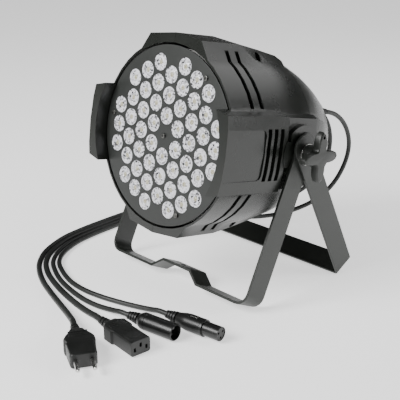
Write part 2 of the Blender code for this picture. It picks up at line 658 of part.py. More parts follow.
def yoke(name, half, lean, bend, joggle, paint):
    """A bent strap: the U drawn flat and extruded, cut to the strap's width with round ends."""
    drop = bar_drop(lean)
    turn_lean = lean if name == "rear_yoke" else -lean
    hub = empty(f"{name}_hub", pivot, rotation=(turn_lean, 0, 0))
    outer = strap_path(half, drop, bend, 0, joggle)
    inner = strap_path(half, drop, bend, STRIP_T, joggle)
    outline = outer + [(-x, d) for x, d in reversed(outer)]
    outline += [(-x, d) for x, d in inner] + list(reversed(inner))
    bm = bmesh.new()
    loft(bm, [[(x, w, -d) for x, d in outline] for w in (-STRIP_W, STRIP_W)])
    strap = piece(name, bm, paint, hub)
    width = STRIP_W / 2
    stadium = [(w, STRAP_BEYOND + u) for w, u in arc(0, 0, width, 0, 180, 12)]
    stadium += [(-width, -drop - 0.02), (width, -drop - 0.02)]
    bm = bmesh.new()
    loft(bm, [[(x, w, u) for w, u in stadium] for x in (-half - 0.02, half + 0.02)])
    boolean(strap, piece(f"{name}_outline", bm, paint, hub), "INTERSECT")
    bore = turned(f"{name}_bores", rod(-half - 0.02, half + 0.02, BOLT_R + TURN_CLEAR), paint, hub,
                  SMALL_ROUND, "X")
    boolean(strap, bore, "DIFFERENCE")
    clamp = turned(f"{name}_clamp_hole", rod(-drop - 0.02, -drop + 0.03, CLAMP_HOLE_R), paint, hub,
                   SMALL_ROUND)
    clamp.rotation_euler = (math.pi / 2, 0, 0)
    boolean(strap, clamp, "DIFFERENCE")
    return strap


yoke("front_yoke", FRONT_HALF, FRONT_LEAN, FRONT_BEND, True, YOKE_PAINT)
yoke("rear_yoke", REAR_HALF, REAR_LEAN, REAR_BEND, False, YOKE_PAINT)

# ---- Pivot hardware ----
WASHER_X = REAR_HALF + FIT_GAP
KNOB_X = WASHER_X + WASHER_T + FIT_GAP
HEAD_T = 0.0065
HEAD_R = 0.0075
KNOB_NECK_R = 0.0115
THREAD_IN = 0.006              # how far the bolt's end stands past the knob's neck
KNOB_TILT = math.radians(-5)   # how the near knob happens to stand
WALL_X = math.sqrt((dome(PIVOT_Y + HEAD_R) - WALL) ** 2 - (HEAD_R + PIVOT_RISE) ** 2)


KNOB_LOBES = 4
KNOB_SIDES = 48
KNOB_WAIST = 1.6               # the higher, the slimmer the lobes


def star(radius_lobe, radius_valley):
    """Outline of the four-lobed knob."""
    points = []
    for i in range(KNOB_SIDES):
        angle = 2 * math.pi * i / KNOB_SIDES
        swell = (0.5 + 0.5 * math.cos(KNOB_LOBES * angle)) ** KNOB_WAIST
        radius = radius_valley + (radius_lobe - radius_valley) * swell
        points.append((radius * math.cos(angle), radius * math.sin(angle)))
    return points


for side, word in ((1, "right"), (-1, "left")):
    face = (0, 0, 0 if side > 0 else math.pi)
    bolt = turned(f"pivot_bolt_{word}",
                  [(WALL_X - HEAD_T, 0), (WALL_X - HEAD_T, HEAD_R), (WALL_X - FIT_GAP, HEAD_R),
                   (WALL_X - FIT_GAP, BOLT_R), (KNOB_X + KNOB_NECK + THREAD_IN, BOLT_R),
                   (KNOB_X + KNOB_NECK + THREAD_IN, 0)], PLATED_STEEL, pivot, 12, "X")
    bolt.rotation_euler = face
    washer = turned(f"washer_{word}",
                    [(WASHER_X, BOLT_R + TURN_CLEAR), (WASHER_X, WASHER_R),
                     (WASHER_X + WASHER_T, WASHER_R), (WASHER_X + WASHER_T, BOLT_R + TURN_CLEAR)],
                    PLATED_STEEL, pivot, 20, "X")
    washer.rotation_euler = face
    rings = []
    for along, scale in ((0, 0.9), (0.0015, 1.0), (KNOB_T - 0.0025, 1.0), (KNOB_T - 0.0008, 0.95),
                         (KNOB_T, 0.88)):
        outline = star(KNOB_LOBE_R * scale, KNOB_VALLEY_R * scale)
        rings.append([(KNOB_X + KNOB_NECK + along, y, z) for y, z in outline])
    knob = lofted(f"knob_{word}", rings, KNOB_PLASTIC, pivot)
    neck = turned(f"knob_neck_{word}", rod(KNOB_X, KNOB_X + KNOB_NECK + 0.001, KNOB_NECK_R),
                  KNOB_PLASTIC, pivot, 24, "X")
    thread = turned(f"knob_bore_{word}", rod(KNOB_X - 0.01, KNOB_X + KNOB_NECK + THREAD_IN + 0.001,
                                             BOLT_R + TURN_CLEAR), KNOB_PLASTIC, pivot, 16, "X")
    for made in (knob, neck, thread):
        made.rotation_euler = (KNOB_TILT, 0, 0) if side > 0 else (0, 0, math.pi)
    boolean(knob, neck, "UNION")
    boolean(knob, thread, "DIFFERENCE")

# ---- Leads: each route is (across, back from the pivot, height above the floor) ----
ROUTES = {
    "xlr_female": [
        (0.035, 0.1398, 0.1762), (0.035, 0.160, 0.1695), (0.0345, 0.178, 0.1575),
        (0.034, 0.1915, 0.141), (0.0332, 0.1985, 0.122), (0.032, 0.1970, 0.103),
        (0.029, 0.190, 0.084), (0.0235, 0.181, 0.067), (0.014, 0.172, 0.052),
        (0.002, 0.163, 0.0395), (-0.014, 0.155, 0.0285), (-0.032, 0.147, 0.0190),
        (-0.052, 0.139, 0.0115), (-0.074, 0.130, 0.0058), (-0.097, 0.120, 0.0035),
        (-0.119, 0.1105, 0.0032), (-0.141, 0.0995, 0.0031), (-0.160, 0.0855, 0.0031),
        (-0.175, 0.067, 0.0031), (-0.185, 0.045, 0.0031), (-0.1900, 0.018, 0.0031),
        (-0.1905, -0.010, 0.0031), (-0.1885, -0.038, 0.0031), (-0.1855, -0.066, 0.0031),
        (-0.1785, -0.099, 0.0031), (-0.163, -0.131, 0.0031), (-0.144, -0.152, 0.0031),
        (-0.120, -0.165, 0.0031), (-0.088, -0.1755, 0.0031), (-0.058, -0.178, 0.0031),
        (-0.030, -0.1745, 0.0031), (-0.003, -0.1680, 0.0033), (0.021, -0.1625, 0.0048),
        (0.039, -0.1595, 0.0072),
    ],
    "xlr_male": [
        (0.0117, 0.1398, 0.1762), (0.0117, 0.156, 0.170), (0.0115, 0.171, 0.159),
        (0.011, 0.182, 0.143), (0.0105, 0.187, 0.125), (0.0095, 0.186, 0.107),
        (0.006, 0.181, 0.090), (0.0002, 0.175, 0.075), (-0.009, 0.1685, 0.061),
        (-0.021, 0.162, 0.049), (-0.037, 0.155, 0.0375), (-0.055, 0.149, 0.027),
        (-0.075, 0.141, 0.018), (-0.097, 0.132, 0.0105), (-0.120, 0.1215, 0.0055),
        (-0.143, 0.1095, 0.0032), (-0.163, 0.096, 0.0031), (-0.1795, 0.079, 0.0031),
        (-0.1905, 0.056, 0.0031), (-0.1965, 0.029, 0.0031), (-0.1980, 0.000, 0.0031),
        (-0.1960, -0.035, 0.0031), (-0.1930, -0.066, 0.0031), (-0.1860, -0.101, 0.0031),
        (-0.1690, -0.1355, 0.0031), (-0.1485, -0.1580, 0.0031), (-0.1240, -0.1720, 0.0031),
        (-0.096, -0.1830, 0.0031), (-0.068, -0.1893, 0.0031), (-0.040, -0.1925, 0.0031),
        (-0.014, -0.1925, 0.0042), (0.010, -0.1905, 0.0070),
    ],
    "mains_out": [
        (-0.0117, 0.1398, 0.1762), (-0.0117, 0.155, 0.170), (-0.012, 0.169, 0.159),
        (-0.0125, 0.180, 0.144), (-0.0135, 0.185, 0.126), (-0.015, 0.184, 0.108),
        (-0.019, 0.180, 0.091), (-0.025, 0.175, 0.076), (-0.034, 0.170, 0.062),
        (-0.046, 0.165, 0.050), (-0.062, 0.160, 0.0385), (-0.080, 0.155, 0.028),
        (-0.100, 0.147, 0.019), (-0.122, 0.137, 0.0115), (-0.145, 0.1245, 0.006),
        (-0.167, 0.1095, 0.0038), (-0.185, 0.0920, 0.0037), (-0.1975, 0.070, 0.0037),
        (-0.2040, 0.044, 0.0037), (-0.2060, 0.015, 0.0037), (-0.2055, -0.010, 0.0037),
        (-0.2035, -0.038, 0.0037), (-0.2005, -0.068, 0.0037), (-0.1935, -0.1035, 0.0037),
        (-0.1755, -0.1405, 0.0037), (-0.1540, -0.1645, 0.0037), (-0.1290, -0.1800, 0.0037),
        (-0.104, -0.1900, 0.0037), (-0.078, -0.1975, 0.0037), (-0.050, -0.2035, 0.0037),
        (-0.024, -0.2080, 0.0045), (-0.001, -0.2120, 0.0070),
    ],
    "mains_in": [
        (-0.035, 0.1398, 0.1762), (-0.035, 0.155, 0.170), (-0.0355, 0.169, 0.159),
        (-0.036, 0.180, 0.144), (-0.037, 0.185, 0.126), (-0.039, 0.184, 0.108),
        (-0.043, 0.180, 0.091), (-0.049, 0.176, 0.076), (-0.058, 0.1715, 0.062),
        (-0.070, 0.168, 0.050), (-0.086, 0.164, 0.0385), (-0.104, 0.159, 0.028),
        (-0.124, 0.152, 0.019), (-0.146, 0.142, 0.0115), (-0.169, 0.1275, 0.006),
        (-0.190, 0.1085, 0.0038), (-0.204, 0.085, 0.0037), (-0.2115, 0.058, 0.0037),
        (-0.2140, 0.028, 0.0037), (-0.2140, 0.000, 0.0037), (-0.2115, -0.036, 0.0037),
        (-0.2080, -0.070, 0.0037), (-0.2005, -0.107, 0.0037), (-0.1815, -0.1455, 0.0037),
        (-0.1590, -0.1705, 0.0037), (-0.1355, -0.1870, 0.0037), (-0.106, -0.2010, 0.0037),
        (-0.076, -0.2110, 0.0037), (-0.046, -0.2200, 0.0040), (-0.020, -0.2285, 0.0056),
        (-0.001, -0.2360, 0.0080),
    ],
}
# Where each lead meets its connector, and the way the connector points along the floor
ENDS = {
    "xlr_female": ((0.0620, -0.1568, 0.0096), 8.0),
    "xlr_male": ((0.0353, -0.1878, 0.0096), 9.0),
    "mains_out": ((0.0227, -0.2150, 0.0090), -5.0),
    "mains_in": ((0.0148, -0.2443, 0.0092), -28.4),
}


EXIT_HEIGHT = 0.1779           # height of the exits that the routes are drawn for


def unit(angle):
    return Vector((math.cos(math.radians(angle)), math.sin(math.radians(angle)), 0))


def exit_point(name):
    """Mouth of a lead's gland and the way out of it, in floor coordinates."""
    x = gland_xs[GLANDS.index(name)]
    along = REAR_FACE + GLAND_LENGTH + FIT_GAP - PIVOT_Y
    up = GLAND_HEIGHT - PIVOT_RISE
    lay = Matrix.Rotation(-NOSE_UP, 3, "X")
    return lay @ Vector((x, along, up)) + Vector((0, 0, PIVOT_HEIGHT)), lay @ Vector((0, 1, 0))


def smooth_route(points, step):
    """Evenly spaced points on a Catmull-Rom curve through the route's points."""
    ends = [2 * points[0] - points[1]] + points + [2 * points[-1] - points[-2]]
    fine = []
    for a, b, c, d in zip(ends, ends[1:], ends[2:], ends[3:]):
        for i in range(12):
            t = i / 12
            fine.append(0.5 * (2 * b + (c - a) * t + (2 * a - 5 * b + 4 * c - d) * t * t
                               + (3 * b - a - 3 * c + d) * t ** 3))
    fine.append(points[-1])
    length = sum((b - a).length for a, b in zip(fine, fine[1:]))
    count = max(2, round(length / step))
    spaced, gone, wanted = [fine[0]], 0.0, length / count
    for a, b in zip(fine, fine[1:]):
        stretch = (b - a).length
        while gone + stretch >= wanted - 1e-9 and len(spaced) < count:
            spaced.append(a.lerp(b, (wanted - gone) / stretch))
            wanted += length / count
        gone += stretch
    return spaced + [fine[-1]]


def lead(name, diameter):
    start, out = exit_point(name)
    end, heading = ENDS[name]
    end = Vector(end)
    rest = diameter / 2
    fall = (start.z - rest) / (EXIT_HEIGHT - rest)
    points = [start, start + out * 0.004]
    points += [Vector((x, y, rest + (z - rest) * fall)) for x, y, z in ROUTES[name]]
    points += [end - unit(heading) * 0.012, end - unit(heading) * FIT_GAP]
    track = smooth_route(points, CORD_STEP)
    curve = bpy.data.curves.new(f"cord_{name}", "CURVE")
    curve.dimensions = "3D"
    spline = curve.splines.new("POLY")
    spline.points.add(len(track) - 1)
    for slot, point in zip(spline.points, track):
        slot.co = (*point, 1)
    curve.bevel_depth = diameter / 2
    curve.bevel_resolution = 2
    curve.use_fill_caps = True
    curve.materials.append(CORD_RUBBER)
    made = bpy.data.objects.new(f"cord_{name}", curve)
    bpy.context.scene.collection.objects.link(made)
    made.parent = ground


for name in GLANDS:
    lead(name, GLAND_D[name])

# ---- Connectors: drawn along +X from the end of the lead, then turned to lie on the floor ----
hubs = {}
for name, (end, heading) in ENDS.items():
    hubs[name] = empty(f"hub_{name}", ground, end, (0, 0, math.radians(heading)))


def ring_x(x, outline):
    return [(x, u, v) for u, v in outline]


# Two-pin mains plug
PLUG_FACE = 0.070
RELIEF_END = 0.016
RELIEF = [(0, 0.0040), (0.003, 0.0046), (0.004, 0.0042), (0.007, 0.0050), (0.008, 0.0045),
          (0.0115, 0.0056), (0.0125, 0.0050), (RELIEF_END, 0.0060)]
turned("mains_plug_relief", [(0, 0)] + RELIEF + [(RELIEF_END, 0)], PLUG_RUBBER, hubs["mains_in"], 12, "X")
rings = []
for x, half, thick in ((0.0163, 0.0078, 0.0070), (0.022, 0.0090, 0.0080), (0.030, 0.0135, 0.0086),
                       (0.036, 0.0160, 0.0088), (0.043, 0.0160, 0.0088), (0.0445, 0.0140, 0.0084),
                       (0.0465, 0.0148, 0.0088), (PLUG_FACE - 0.002, 0.0135, 0.0086),
                       (PLUG_FACE, 0.0120, 0.0075)):
    rings.append(ring_x(x, rounded(half, thick, 0.0028, 2)))
lofted("mains_plug_body", rings, PLUG_RUBBER, hubs["mains_in"])
PIN_R = 0.0022
PIN_SPACING = 0.0166
PIN_LENGTH = 0.018
for side, word in ((1, "left"), (-1, "right")):
    turned(f"mains_plug_pin_{word}",
           [(PLUG_FACE + FIT_GAP, 0), (PLUG_FACE + FIT_GAP, PIN_R),
            (PLUG_FACE + PIN_LENGTH - 0.0015, PIN_R), (PLUG_FACE + PIN_LENGTH, PIN_R * 0.5),
            (PLUG_FACE + PIN_LENGTH, 0)],
           PLATED_STEEL, hubs["mains_in"], 12, "X", (0, side * PIN_SPACING / 2, 0))

# Three-hole appliance connector
SOCKET_FACE = 0.072
turned("mains_socket_relief", [(0, 0)] + RELIEF + [(RELIEF_END, 0)], PLUG_RUBBER, hubs["mains_out"], 12,
       "X")
rings = []
for x, half, thick in ((0.0163, 0.0080, 0.0070), (0.020, 0.0085, 0.0080), (0.025, 0.0134, 0.0086),
                       (0.038, 0.0134, 0.0086), (0.040, 0.0118, 0.0082),
                       (SOCKET_FACE, 0.0118, 0.0082)):
    rings.append(ring_x(x, rounded(half, thick, 0.0022, 2)))
socket = lofted("mains_socket_body", rings, PLUG_RUBBER, hubs["mains_out"])
bm = bmesh.new()
for u, v in ((0.007, -0.0015), (-0.007, -0.0015), (0.0, 0.0025)):
    add_box(bm, (SOCKET_FACE - 0.015, u - 0.0012, v - 0.0022),
            (SOCKET_FACE + 0.005, u + 0.0012, v + 0.0022))
boolean(socket, piece("socket_slots", bm, PLUG_RUBBER, hubs["mains_out"]), "DIFFERENCE")

# XLR connectors
XLR_R = 0.0094
BOOT = [(0, 0), (0, 0.0042), (0.003, 0.0050), (0.004, 0.0044), (0.0065, 0.0056), (0.0075, 0.0049),
        (0.010, 0.0062), (0.011, 0.0055), (0.014, 0.0068), (0.0155, 0.0068), (0.0155, 0)]
XLR_BACK = 0.0158
SHELL_END = 0.064
SHELL_BORE = 0.0078
SHELL_DEPTH = 0.016
turned("xlr_male_boot", BOOT, PLUG_RUBBER, hubs["xlr_male"], 14, "X")
male = turned("xlr_male_shell",
              [(XLR_BACK, 0), (XLR_BACK, 0.0070), (0.021, XLR_R), (SHELL_END - 0.0005, XLR_R),
               (SHELL_END, XLR_R - 0.0005), (SHELL_END, SHELL_BORE),
               (SHELL_END - SHELL_DEPTH, SHELL_BORE), (SHELL_END - SHELL_DEPTH, 0)],
              PLUG_SHELL, hubs["xlr_male"], 24, "X")
XLR_PINS = [(4.1e-3 * math.cos(a), 4.1e-3 * math.sin(a))
            for a in (math.radians(30), math.radians(150), math.radians(270))]
INSERT_R = SHELL_BORE - FIT_GAP
PIN_REACH = 0.0055             # the pins stop this far inside the mouth
insert_x = SHELL_END - SHELL_DEPTH + FIT_GAP
insert = turned("xlr_male_insert", rod(insert_x, insert_x + 0.003, INSERT_R), PLATED_STEEL,
                hubs["xlr_male"], 20, "X")
bm = bmesh.new()
for u, v in XLR_PINS:
    ring = [(u + 0.0012 * math.cos(math.pi / 4 * k), v + 0.0012 * math.sin(math.pi / 4 * k))
            for k in range(8)]
    loft(bm, [ring_x(x, ring) for x in (insert_x + 0.001, SHELL_END - PIN_REACH)])
boolean(insert, piece("xlr_pins", bm, PLATED_STEEL, hubs["xlr_male"]), "UNION")

FEMALE_STEP = 0.052
FEMALE_END = 0.072
FEMALE_NOSE_R = 0.0078
LATCH_FROM = 0.0330
LATCH_TO = 0.0430
LATCH_HALF = 0.0026
turned("xlr_female_boot", BOOT, PLUG_RUBBER, hubs["xlr_female"], 14, "X")
female = turned("xlr_female_body",
                [(XLR_BACK, 0), (XLR_BACK, 0.0066), (0.024, 0.0086), (0.030, XLR_R),
                 (FEMALE_STEP, XLR_R), (FEMALE_STEP, FEMALE_NOSE_R),
                 (FEMALE_END, FEMALE_NOSE_R), (FEMALE_END, FEMALE_NOSE_R - 0.001),
                 (FEMALE_END - 0.014, FEMALE_NOSE_R - 0.001), (FEMALE_END - 0.014, 0)],
                PLUG_SHELL, hubs["xlr_female"], 24, "X")
bm = bmesh.new()
add_box(bm, (LATCH_FROM, -LATCH_HALF, 0.0055), (LATCH_TO, LATCH_HALF, 0.0120))
boolean(female, piece("latch_pocket", bm, PLUG_SHELL, hubs["xlr_female"]), "DIFFERENCE")
nose = turned("xlr_female_insert",
              rod(FEMALE_END - 0.014 + FIT_GAP, FEMALE_END - 0.0005, FEMALE_NOSE_R - 0.001 - FIT_GAP),
              PLUG_RUBBER, hubs["xlr_female"], 20, "X")
bm = bmesh.new()
for u, v in XLR_PINS:
    ring = [(u + 0.0014 * math.cos(math.pi / 4 * k), v + 0.0014 * math.sin(math.pi / 4 * k))
            for k in range(8)]
    loft(bm, [ring_x(x, ring) for x in (FEMALE_END - 0.010, FEMALE_END + 0.004)])
boolean(nose, piece("xlr_holes", bm, PLUG_RUBBER, hubs["xlr_female"]), "DIFFERENCE")
block("xlr_female_latch", (LATCH_FROM + FIT_GAP, -LATCH_HALF + FIT_GAP, 0.0078),
              (LATCH_TO - FIT_GAP, LATCH_HALF - FIT_GAP, 0.0100), PLATED_STEEL,
              hubs["xlr_female"])

# ---- Stand the lamp with the middle of its footprint box at the origin ----
bpy.context.view_layer.update()
graph = bpy.context.evaluated_depsgraph_get()
ON_LEADS = ("cord_", "mains_", "xlr_")
lows, highs = [], []
for obj in bpy.context.view_layer.objects:
    if obj.type != "MESH" or obj.hide_render or obj.name.startswith(ON_LEADS):
        continue
    evaluated = obj.evaluated_get(graph)
    corners = [evaluated.matrix_world @ vert.co for vert in evaluated.data.vertices]
    lows.append([min(corner[i] for corner in corners) for i in range(3)])
    highs.append([max(corner[i] for corner in corners) for i in range(3)])
low = [min(values) for values in zip(*lows)]
high = [max(values) for values in zip(*highs)]
ground.location = (-(low[0] + high[0]) / 2, -(low[1] + high[1]) / 2, -low[2])
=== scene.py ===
import math

import bpy
from mathutils import Matrix, Vector


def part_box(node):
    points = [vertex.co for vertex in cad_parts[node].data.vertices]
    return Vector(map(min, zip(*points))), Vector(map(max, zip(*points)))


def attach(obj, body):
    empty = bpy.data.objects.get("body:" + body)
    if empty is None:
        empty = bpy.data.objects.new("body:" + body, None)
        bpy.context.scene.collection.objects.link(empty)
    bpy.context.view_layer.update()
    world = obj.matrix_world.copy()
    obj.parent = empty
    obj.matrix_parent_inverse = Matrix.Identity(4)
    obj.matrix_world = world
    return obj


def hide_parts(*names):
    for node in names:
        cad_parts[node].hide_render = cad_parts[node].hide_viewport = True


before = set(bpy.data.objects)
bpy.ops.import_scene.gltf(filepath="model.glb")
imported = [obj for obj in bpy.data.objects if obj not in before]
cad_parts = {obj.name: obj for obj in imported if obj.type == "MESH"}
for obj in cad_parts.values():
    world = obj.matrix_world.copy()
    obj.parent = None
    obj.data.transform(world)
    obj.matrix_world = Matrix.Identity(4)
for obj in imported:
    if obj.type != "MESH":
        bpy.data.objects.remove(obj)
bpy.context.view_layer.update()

# ---- The frame ----
# The lamp hangs on two bolts in line, and everything in it is set out from its own axis:
# y = 0 in the plane of the lenses and growing to the back, z up. LAMP carries that to the floor.
ring_low, ring_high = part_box("washer_right")
PIVOT = Vector((0, (ring_low.y + ring_high.y) / 2, (ring_low.z + ring_high.z) / 2))
PIVOT_BACK = 0.102
PIVOT_UP = 0.0015
NOSE_UP = math.radians(10.2)
LAMP = (Matrix.Translation(PIVOT) @ Matrix.Rotation(-NOSE_UP, 4, "X")
        @ Matrix.Translation((0, -PIVOT_BACK, -PIVOT_UP)))

# ---- Camera, floor and lights ----
# A pale sheet to stand on inside a bright surround. One big soft box stands over the left
# shoulder, one low on the right for the side ribs, and one high behind for the barrel's top.
EYE = (0.6466, -0.6790, 0.4251)
SIGHT_LINE = (-0.6726, 0.6558, -0.3428)
LENS_MM = 73.5
SENSOR_MM = 36.0
FLOOR_SIDE = 40.0
FLOOR_DROP = 0.0002
FLOOR_TONE = 0.88
FLOOR_GLOW = 0.95
FLOOR_ROUGHNESS = 0.9
SURROUND_SEEN = 3.4
SURROUND_CAST = 0.05
scene = bpy.context.scene
sight = bpy.data.cameras.new("sight")
sight.lens = LENS_MM
sight.sensor_width = SENSOR_MM
camera = bpy.data.objects.new("sight", sight)
scene.collection.objects.link(camera)
camera.location = EYE
camera.rotation_euler = Vector(SIGHT_LINE).to_track_quat("-Z", "Y").to_euler()
scene.camera = camera

bpy.ops.object.select_all(action="DESELECT")
bpy.ops.mesh.primitive_plane_add(size=FLOOR_SIDE, location=(0, 0, -FLOOR_DROP))
floor = bpy.context.object
floor.name = "floor"
sheet = bpy.data.materials.new("floor_sheet")
sheet.use_nodes = True
finish = sheet.node_tree.nodes["Principled BSDF"]
finish.inputs["Base Color"].default_value = (FLOOR_TONE, FLOOR_TONE, FLOOR_TONE, 1)
finish.inputs["Emission Color"].default_value = (1, 1, 1, 1)
finish.inputs["Emission Strength"].default_value = FLOOR_GLOW
finish.inputs["Roughness"].default_value = FLOOR_ROUGHNESS
floor.data.materials.append(sheet)

surround = bpy.data.worlds.new("surround")
surround.use_nodes = True
tree = surround.node_tree
behind = tree.nodes["Background"]
behind.inputs["Color"].default_value = (1, 1, 1, 1)
behind.inputs["Strength"].default_value = SURROUND_SEEN
around = tree.nodes.new("ShaderNodeBackground")
around.inputs["Color"].default_value = (1, 1, 1, 1)
around.inputs["Strength"].default_value = SURROUND_CAST
straight = tree.nodes.new("ShaderNodeLightPath")
either = tree.nodes.new("ShaderNodeMixShader")
tree.links.new(straight.outputs["Is Camera Ray"], either.inputs["Fac"])
tree.links.new(around.outputs["Background"], either.inputs[1])
tree.links.new(behind.outputs["Background"], either.inputs[2])
tree.links.new(either.outputs["Shader"], tree.nodes["World Output"].inputs["Surface"])
scene.world = surround


def soft_box(name, place, aim, width, height, power):
    """A square-cornered studio light; power is in watts."""
    light = bpy.data.lights.new(name, "AREA")
    light.shape = "RECTANGLE"
    light.size = width
    light.size_y = height
    light.energy = power
    made = bpy.data.objects.new(name, light)
    scene.collection.objects.link(made)
    made.location = place
    made.rotation_euler = (Vector(aim) - Vector(place)).to_track_quat("-Z", "Y").to_euler()


soft_box("key", place=(-0.35, -1.45, 1.15), aim=(0, 0, 0.17), width=0.8, height=0.8, power=42)
soft_box("side", place=(1.20, 0.80, 0.62), aim=(0, 0, 0.17), width=0.7, height=0.45, power=10)
soft_box("shoulder", place=(0.20, 1.20, 1.25), aim=(0, 0, 0.25), width=1.3, height=0.9, power=7)


# ---- Leads ----
# Four round flexes in soft black rubber: two mains leads and two thinner data leads. They leave the
# glands at the back, drop behind the stand and lie along the far side to their ends in front.
def coated(name, dark, light, roughness, patch, grain, depth, metallic=0.0):
    """A finish that wanders between two tones, with a fine grain raised in it.

    patch and grain are how many patches and grains there are to the metre; depth is in metres."""
    patch_detail, grain_detail = 5.0, 2.0
    tone_range = (0.35, 0.68)
    gloss_range = (0.3, 0.7)
    made = bpy.data.materials.new(name)
    made.use_nodes = True
    tree = made.node_tree
    shader = tree.nodes["Principled BSDF"]
    shader.inputs["Metallic"].default_value = metallic
    where = tree.nodes.new("ShaderNodeTexCoord").outputs["Object"]
    tone = tree.nodes.new("ShaderNodeTexNoise")
    tone.inputs["Scale"].default_value = patch
    tone.inputs["Detail"].default_value = patch_detail
    tree.links.new(where, tone.inputs["Vector"])
    blend = tree.nodes.new("ShaderNodeValToRGB")
    for stop, position, color in zip(blend.color_ramp.elements, tone_range, (dark, light)):
        stop.position = position
        stop.color = (*color, 1)
    tree.links.new(tone.outputs["Fac"], blend.inputs["Fac"])
    tree.links.new(blend.outputs["Color"], shader.inputs["Base Color"])
    gloss = tree.nodes.new("ShaderNodeMapRange")
    gloss.inputs["From Min"].default_value = gloss_range[0]
    gloss.inputs["From Max"].default_value = gloss_range[1]
    gloss.inputs["To Min"].default_value = roughness[0]
    gloss.inputs["To Max"].default_value = roughness[1]
    tree.links.new(tone.outputs["Fac"], gloss.inputs["Value"])
    tree.links.new(gloss.outputs["Result"], shader.inputs["Roughness"])
    specks = tree.nodes.new("ShaderNodeTexNoise")
    specks.inputs["Scale"].default_value = grain
    specks.inputs["Detail"].default_value = grain_detail
    tree.links.new(where, specks.inputs["Vector"])
    raised = tree.nodes.new("ShaderNodeBump")
    raised.inputs["Strength"].default_value = 1.0
    raised.inputs["Distance"].default_value = depth
    tree.links.new(specks.outputs["Fac"], raised.inputs["Height"])
    tree.links.new(raised.outputs["Normal"], shader.inputs["Normal"])
    return made


